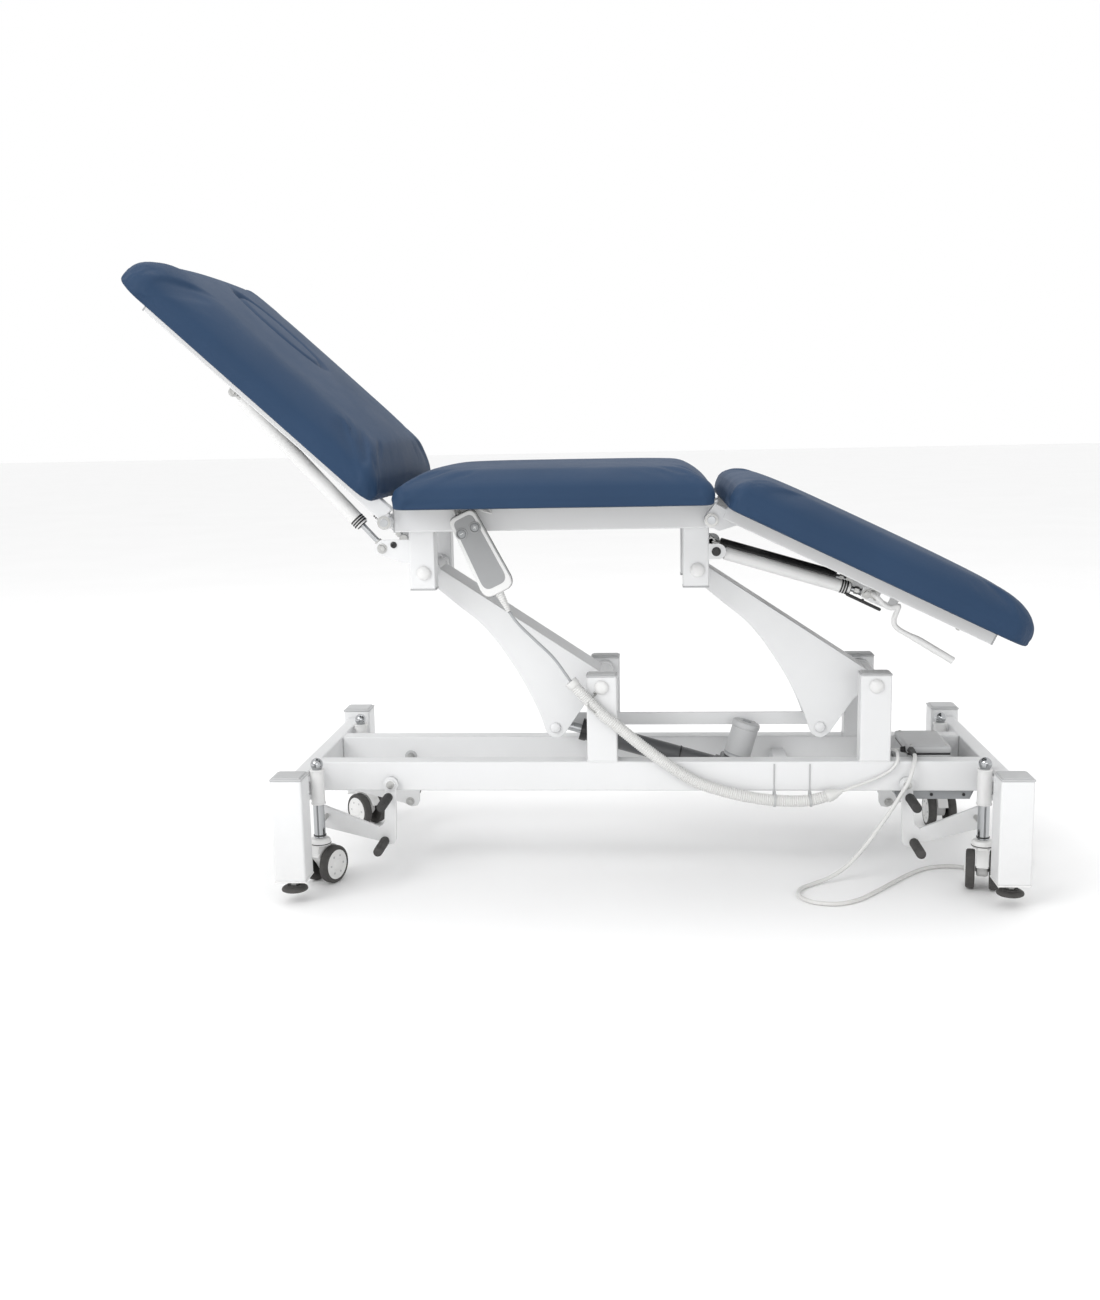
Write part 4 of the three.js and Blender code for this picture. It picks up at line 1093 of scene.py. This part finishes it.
# ------------------------------------------------------------------ hand control
def build_handset():
    centre = sum((*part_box("up_button"), *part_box("down_button")), Vector()) / 4
    tilt = -25.7
    turn = Matrix.Rotation(math.radians(tilt), 4, "Y")
    origin = Vector((centre.x, -0.186, centre.z)) - turn @ Vector((0, 0, 0.048))
    where = place(origin, tilt)
    outline = [(13, 83)] + bezier((13, 83), (26, 83), (27, 70))
    outline += [(32, -62)] + bezier((32, -62), (32, -84), (12, -84))
    outline += [(-12, -84)] + bezier((-12, -84), (-32, -84), (-32, -62))
    outline += [(-27, 70)] + bezier((-27, 70), (-26, 83), (-13, 83))
    shell = Piece("hand_control_shell", where, "plastic", "panel", "black", "sheath")
    shell.plate(outline, -13, 13, 4.5)
    inset = [(x * 0.76, z * 0.86 + 3) for x, z in outline]
    shell.plate(inset, -13.7, -12, 0.5, 1)
    shell.tube([Vector((x * 1.002, -0.6, z * 1.002)) for x, z in outline + outline[:1]], 0.7, 6, 2)
    for x in (14, -14):
        bezel = [(8.4, 0), (11.4, 0.2), (11.2, 1.2), (8.9, 1.6), (8.4, 0)]
        shell.turned(bezel, (x, -13.6, 48), (0, -1, 0), 36, 1)
    # ribbed strain relief
    profile = [(0, -124)]
    for k in range(9):
        z = -124 + k * 4.4
        r = 4.8 + 0.45 * k
        profile += [(r - 0.9, z), (r, z + 0.6), (r, z + 2.8), (r - 0.9, z + 3.4)]
    shell.turned(profile + [(9, -83), (0, -82)], (-3, 0, 0), (0, 0, 1), 32, 3)
    shell.done("upper_frame", "white_plastic", "handset_shell")

    # wire hook that hangs the control on the seat rail
    hook = Piece("hand_control_hook", HOME, "plastic")
    left = where @ Vector((-12, 6, 80))
    right = where @ Vector((16, 6, 80))
    for top_x, start in ((-352, left), (-292, right)):
        s = Vector(((start.x - MIDDLE) / MM, start.y / MM, start.z / MM))
        line = [s, s + Vector((-4, 2, 12)), (top_x + 4, -172, 724), (top_x, -169, 733), (top_x, -160, 736.5),
                (top_x, -140, 737)]
        hook.tube(smooth_path([tuple(q) for q in line], 2.5), 2.6, 12)
    hook.done("upper_frame", "white_plastic")

    for name, x, rise in (("up", 14, 1), ("down", -14, -1)):
        button = Piece(f"{name}_button_cap", where, "grey", "plastic")
        dome = [(0, 0), (7.7, 0), (8.0, 0.6), (8.0, 3.0), (7.2, 4.3), (4.5, 4.9), (0, 5.1)]
        button.turned(dome, (x, -10.5, 48), (0, -1, 0), 40)
        button.block(x - 3.6, x + 3.6, -15.9, -15.2, 47.2, 48.8, 0.3, 1)
        if rise > 0:
            button.block(x - 0.8, x + 0.8, -15.9, -15.2, 44.4, 51.6, 0.3, 1)
        button.done(f"{name}_button", "grey_plastic", f"{name}_button")


# ------------------------------------------------------------------ cables
HANDSET_CABLE = [(-256.4, -186, 535.6), (-240, -182, 512), (-209, -171, 478), (-176, -158, 442),
                 (-152, -149, 406), (-141.5, -146, 389.5)]
CONDUIT = [(-141, -146, 389), (-116, -146, 361), (-87, -146, 330.5), (-48, -146, 298), (10, -146, 250),
           (68, -146, 209), (107, -146, 187), (147, -146, 173), (205, -146, 159), (263, -146, 152),
           (322, -146, 153), (364, -146, 165)]
BOX_LEAD = [(355, -146, 162), (400, -143, 177), (438, -138, 190), (466, -136, 203), (482, -137, 216),
            (489, -136, 228), (492, -127, 237), (493, -112, 241), (492, -92, 240), (490, -73, 236.5),
            (493, -58, 233.5), (501, -52.6, 232.2), (508.3, -52, 232)]
POWER_CORD = [(527, -94.4, 235), (527, -104, 235), (526.5, -116, 235.2), (524.5, -129.5, 232.6),
              (521, -140.5, 225.5), (516.5, -149.5, 214), (511, -156, 200), (503, -159, 184),
              (491, -161, 164), (475, -163, 138), (456, -165, 110), (437, -167, 82), (415, -171, 55),
              (389, -178, 29), (356, -190, 11), (322, -209, 4.3), (296, -237, 4.3), (288, -275, 4.3),
              (309, -309, 4.3), (351, -319, 4.3), (393, -298, 4.3), (432, -254, 4.3), (474, -200, 4.3),
              (516, -148, 4.3), (558, -110, 4.3), (601, -98.4, 4.3), (645, -110.2, 4.3),
              (689.6, -122.2, 4.3)]
HANK = {"at": (731, -58), "turn": 75, "reach": 40}
CORD_R = 4.0


def hank_line():
    """The tied loops: three laps of a long round-ended loop, side by side and stacked, then to the plug."""
    reach = HANK["reach"]
    laps = [(32, 4.3), (24, 4.3), (32, 12.3), (24, 12.3)]
    points = []
    for k, (r, z) in enumerate(laps):
        points += [(x, y, z) for x, y in arc(-reach, 0, r, 180, 270, 6)]
        points += [(x, -r, z) for x in (-20, 0, 20)]
        if k == len(laps) - 1:
            points += [(reach, -r, z), (reach + 20, -r, z), (75, -r, z)]
            break
        points += [(x, y, z) for x, y in arc(reach, 0, r, -90, 90, 12)]
        nr, nz = laps[k + 1]
        for x, t in ((24, 0.1), (8, 0.35), (-8, 0.65), (-24, 0.9)):
            points.append((x, r + (nr - r) * t, z + (nz - z) * t))
        points += [(x, y, nz) for x, y in arc(-reach, 0, nr, 90, 165, 5)]
    return points


def build_cables():
    local = place(home(HANK["at"][0], HANK["at"][1], 0), 0, HANK["turn"])
    route = [home(*p) for p in POWER_CORD] + [local @ Vector(p) for p in hank_line()]
    line = smooth_path(route, 0.004)
    curve = bpy.data.curves.new("mains_lead", "CURVE")
    curve.dimensions = "3D"
    spline = curve.splines.new("POLY")
    spline.points.add(len(line) - 1)
    for point, spot in zip(spline.points, line):
        point.co = (*spot, 1)
    curve.bevel_depth = CORD_R * MM
    curve.bevel_resolution = 5
    curve.use_fill_caps = True
    curve.materials.append(M["sheath"])
    cord = put("mains_lead", curve)
    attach(cord, "base")
    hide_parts("power_cord", "cord_hank")

    relief = Piece("mains_lead_strain_relief", HOME, "black")
    profile = [(0, -18)]
    for k in range(8):
        y = -18 + k * 4.6
        r = 7.0 - 0.28 * k
        profile += [(r - 0.9, y), (r, y + 0.7), (r, y + 2.8), (r - 0.9, y + 3.4)]
    relief.turned(profile + [(4.5, 19.6), (0, 19.6)], (527, -94.4, 235), (0, -1, 0), 32)
    relief_made = relief.done("base", "cable")
    tie = Piece("mains_lead_tie", local, "black")
    band = arc(30, 10, 8.2, 0, 90, 6) + arc(-30, 10, 8.2, 90, 180, 6)
    band += arc(-30, 8.4, 8.2, 180, 270, 6) + arc(30, 8.4, 8.2, 270, 360, 6)
    for x in (-7, -3.5, 0, 3.5, 7):
        ring = [Vector((x, y, max(z, 1.2))) for y, z in band]
        tie.tube(ring + ring[:1], 1.1, 8, caps=False)
    tie.block(-9, 9, -6, 12, 17.4, 20.4, 1.2)
    tie_made = tie.done("base", "cable")
    plug = Piece("mains_plug", local, "sheath", "brass", "grey")
    plug.block(80, 112, -39, -9, 2, 23, 6, segments=4)
    plug.block(110, 112.6, -37, -11, 4, 21, 1, 2)
    plug.turned([(0, 73), (5.4, 73), (5.6, 75), (7.6, 81), (0, 81)], (0, -24, 12.3), (1, 0, 0), 28)
    for k in range(3):
        plug.turned([(5.2, 0), (6.4, 0.6), (6.4, 1.4), (5.2, 2)], (74 + 2.4 * k, -24, 12.3), (1, 0, 0), 28, 0)
    for y in (-33.5, -14.5):
        plug.turned([(0, 0), (2.4, 0), (2.4, 15), (1.6, 17.6), (0, 18)], (112, y, 12.5), (1, 0, 0), 24, 1)
    plug_made = plug.done("base", "cable", "power_plug")

    # corrugated conduit with its lead, two ties and a clip on the pylon
    hose = Piece("corrugated_conduit", HOME, "sheath", "pale", "zinc")
    pitch = 4.2
    hose.tube(smooth_path(CONDUIT, 0.9), lambda s: 11.2 + 0.95 * math.cos(2 * math.pi * s / pitch), 24)
    mouth = [(0, -4), (12.6, -4), (13, -3), (13, 7), (11.8, 9), (0, 9)]
    hose.turned(mouth, CONDUIT[0], Vector((25, 0, -28)), 32, 0)
    boot = [(0, -8), (12.4, -8), (12.6, -6), (12.2, 1), (9.5, 9), (5.5, 17), (3.6, 22), (0, 22)]
    hose.turned(boot, (362, -146, 164), Vector((40, 0, 14)), 32, 0)
    hose.tube(smooth_path(BOX_LEAD, 3), 3, 14, 0)
    fine = smooth_path(CONDUIT, 2)
    for x in (252, 322):
        k = min(range(len(fine)), key=lambda i: abs(fine[i].x - x))
        ahead = (fine[k + 1] - fine[k - 1]).normalized()
        hose.turned([(11.6, -2.2), (13, -1.9), (13, 1.9), (11.6, 2.2)], fine[k], ahead, 32, 1)
        hose.block(fine[k].x - 3, fine[k].x + 3, -138, -130, 160, 168, 1, 1)
        loop = [(-146, fine[k].z + 13), (-138, 166), (-131.6, 172), (-131.2, 196), (-131.4, 222)]
        hose.tube(smooth_path([(fine[k].x, y, z) for y, z in loop], 2), 1.3, 8, 1)
    clip = [(-96, -130.4, 366), (-96, -134, 362), (-104, -150, 360), (-110, -159, 346), (-98, -160, 334),
            (-92, -146, 331)]
    hose.tube(smooth_path(clip, 2), 1.6, 10, 2)
    hose.screw((-96, -130.4, 366), (0, -1, 0), 4.2, 2)
    hose.done("base", "cable", "conduit", sharp=60, weighted=False)

    lead = Piece("hand_control_lead", HOME, "grey_sheath")
    inside = [(-126, -146, 372), (-104, -146, 348)]
    lead_line = smooth_path(HANDSET_CABLE + inside, 3)
    lead.tube(lead_line, 2.8, 16)
    lead_made = lead.done(None, "cable_grey", "handset_cable", weighted=False)
    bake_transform(lead_made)


# ------------------------------------------------------------------ castors and pedals
def pedal_lever(end_name, end):
    lever = Piece(f"{end_name}_pedal_lever", HOME, "powder", "rubber", "zinc")

    def at(points):
        return [(end * x, z) for x, z in points]

    lever.rod((end * PEDAL_X, -151, PEDAL_Z), (end * PEDAL_X, 151, PEDAL_Z), 8, 2)
    crank = [(497, 188), (502, 196), (514, 196), (519, 188), (524, 104), (534, 95), (645, 140), (645, 94),
             (536, 66), (520, 58), (506, 60), (501, 70)]
    for _, side in sides():
        lever.plate(at(crank), *span(side, 135, 143), 1.4)
        for x, z in at([(512, 160), (522, 70)]):
            lever.rod((x, side * 142, z), (x, side * 154, z), 5.4, 2)
            lever.bolt((x, side * 135, z), (0, -side, 0), 7, 2, 4)
            sleeve = [(0, 0), (7.6, 0), (8.8, 1.2)]
            for k in range(11):
                y = 4 + k * 6.2
                sleeve += [(8.8, y), (9.4, y + 1), (9.4, y + 4.0), (8.8, y + 5)]
            sleeve += [(9.2, 75), (8.6, 77.6), (6.4, 79), (0, 79.2)]
            lever.turned(sleeve, (x, side * 151, z), (0, side, 0), 36, 1)
        lever.rod((end * STEM_X, side * 142, 119), (end * STEM_X, side * 190, 119), 5, 2)
        lever.bolt((end * PEDAL_X, side * 143, PEDAL_Z), (0, side, 0), 11, 0, 5)
    lever.done(f"{end_name}_pedal", "white_frame", f"{end_name}_castor_pedal")


WHEEL_R = 37.5


def castor(end_name, side_name):
    tag = f"{end_name}_{side_name}"
    stem_at = pivot(f"castor_{tag}_swivel")
    wheel_at = pivot(f"castor_{tag}_roll")
    ahead = wheel_at - stem_at
    yaw = math.degrees(math.atan2(ahead.y, ahead.x))
    trail = math.hypot(ahead.x, ahead.y) / MM
    where = place(Vector((stem_at.x, stem_at.y, 0)), 0, yaw)

    stem = Piece(f"castor_post_{tag}", where, "chrome", "black")
    post = [(0, 93), (10.4, 93), (11.2, 94), (11.2, 229), (9.2, 230.5), (9.2, 232)]
    angles = [math.radians(a) for a in range(-42, 90, 11)]
    ball = [(12.5 * math.cos(a), 241 + 12.5 * math.sin(a)) for a in angles]
    stem.turned(post + ball + [(0, 253.5)], (0, 0, 0), (0, 0, 1), 44)
    stem.turned([(11.1, 0), (12.4, 0.5), (12.4, 3), (11.1, 3.6)], (0, 0, 96), (0, 0, 1), 40, 1)
    stem.done(f"castor_stem_{tag}", "chrome", f"castor_stem_{tag}")

    fork = Piece(f"castor_yoke_{tag}", where, "plastic", "black")
    hub = [(0, 78), (19, 78), (20.6, 79.4), (21, 82), (20.6, 88), (18, 91.4), (13, 92.7), (0, 92.7)]
    fork.turned(hub, (0, 0, 0), (0, 0, 1), 44)
    fork.turned([(20.9, 0), (21.5, 0.4), (21.5, 1.6), (20.9, 2)], (0, 0, 81), (0, 0, 1), 44, 1)
    hood = [(-19, 80), (-20, 66), (-15, 50), (-6, 40), (trail - 9, 26), (trail + 9, 26), (trail + 16, 34),
            (trail + 17, 48), (trail + 10, 64), (20, 80)]
    fork.plate(hood, -10.5, 10.5, 3)
    guard = arc(trail, WHEEL_R, 39.6, 20, 150, 18) + arc(trail, WHEEL_R, 37.6, 20, 150, 18)[::-1]
    fork.plate(guard, -10.8, 10.8, 0.5)
    fork.done(f"castor_fork_{tag}", "white_plastic", f"castor_fork_{tag}")

    wheels = Piece(f"castor_rollers_{tag}", where, "rubber", "plastic", "pale")
    wheels.rod((trail, -12.4, WHEEL_R), (trail, 12.4, WHEEL_R), 5, 2)
    for s in (-1, 1):
        tyre = [(27, 13.2), (35.4, 13.2), (36.8, 14.4), (37.5, 17), (37.5, 25), (36.9, 27.6), (35, 29.6),
                (31, 30.2), (27, 29.4), (27, 13.2)]
        wheels.turned(tyre, (trail, 0, WHEEL_R), (0, s, 0), 56, 0)
        disc = [(0, 13.4), (28, 13.4), (29.4, 14.6), (30, 28.6), (29, 30.2), (27, 30.8), (25.6, 30.2),
                (24, 29.4), (13, 30.6), (12, 31.6), (10, 32.4), (6, 32.9), (0, 33)]
        wheels.turned(disc, (trail, 0, WHEEL_R), (0, s, 0), 56, 1)
        for k in range(6):
            a = k * math.pi / 3
            spot = (trail + 18.5 * math.cos(a), s * 29.8, WHEEL_R + 18.5 * math.sin(a))
            wheels.turned([(0, 0), (2.2, 0), (2.2, 0.9), (0, 0.9)], spot, (0, s, 0), 16, 2)
    wheels.done(f"castor_wheels_{tag}", "wheel_black", f"castor_wheels_{tag}")


def build_castors():
    for end_name, end in (("head", -1), ("foot", 1)):
        pedal_lever(end_name, end)
        for side_name, _ in sides():
            castor(end_name, side_name)


M = build_materials()
build_studio()
build_cables()
build_base()
build_lift()
build_seat()
build_back()
build_leg()
build_cushions()
build_handset()
build_castors()
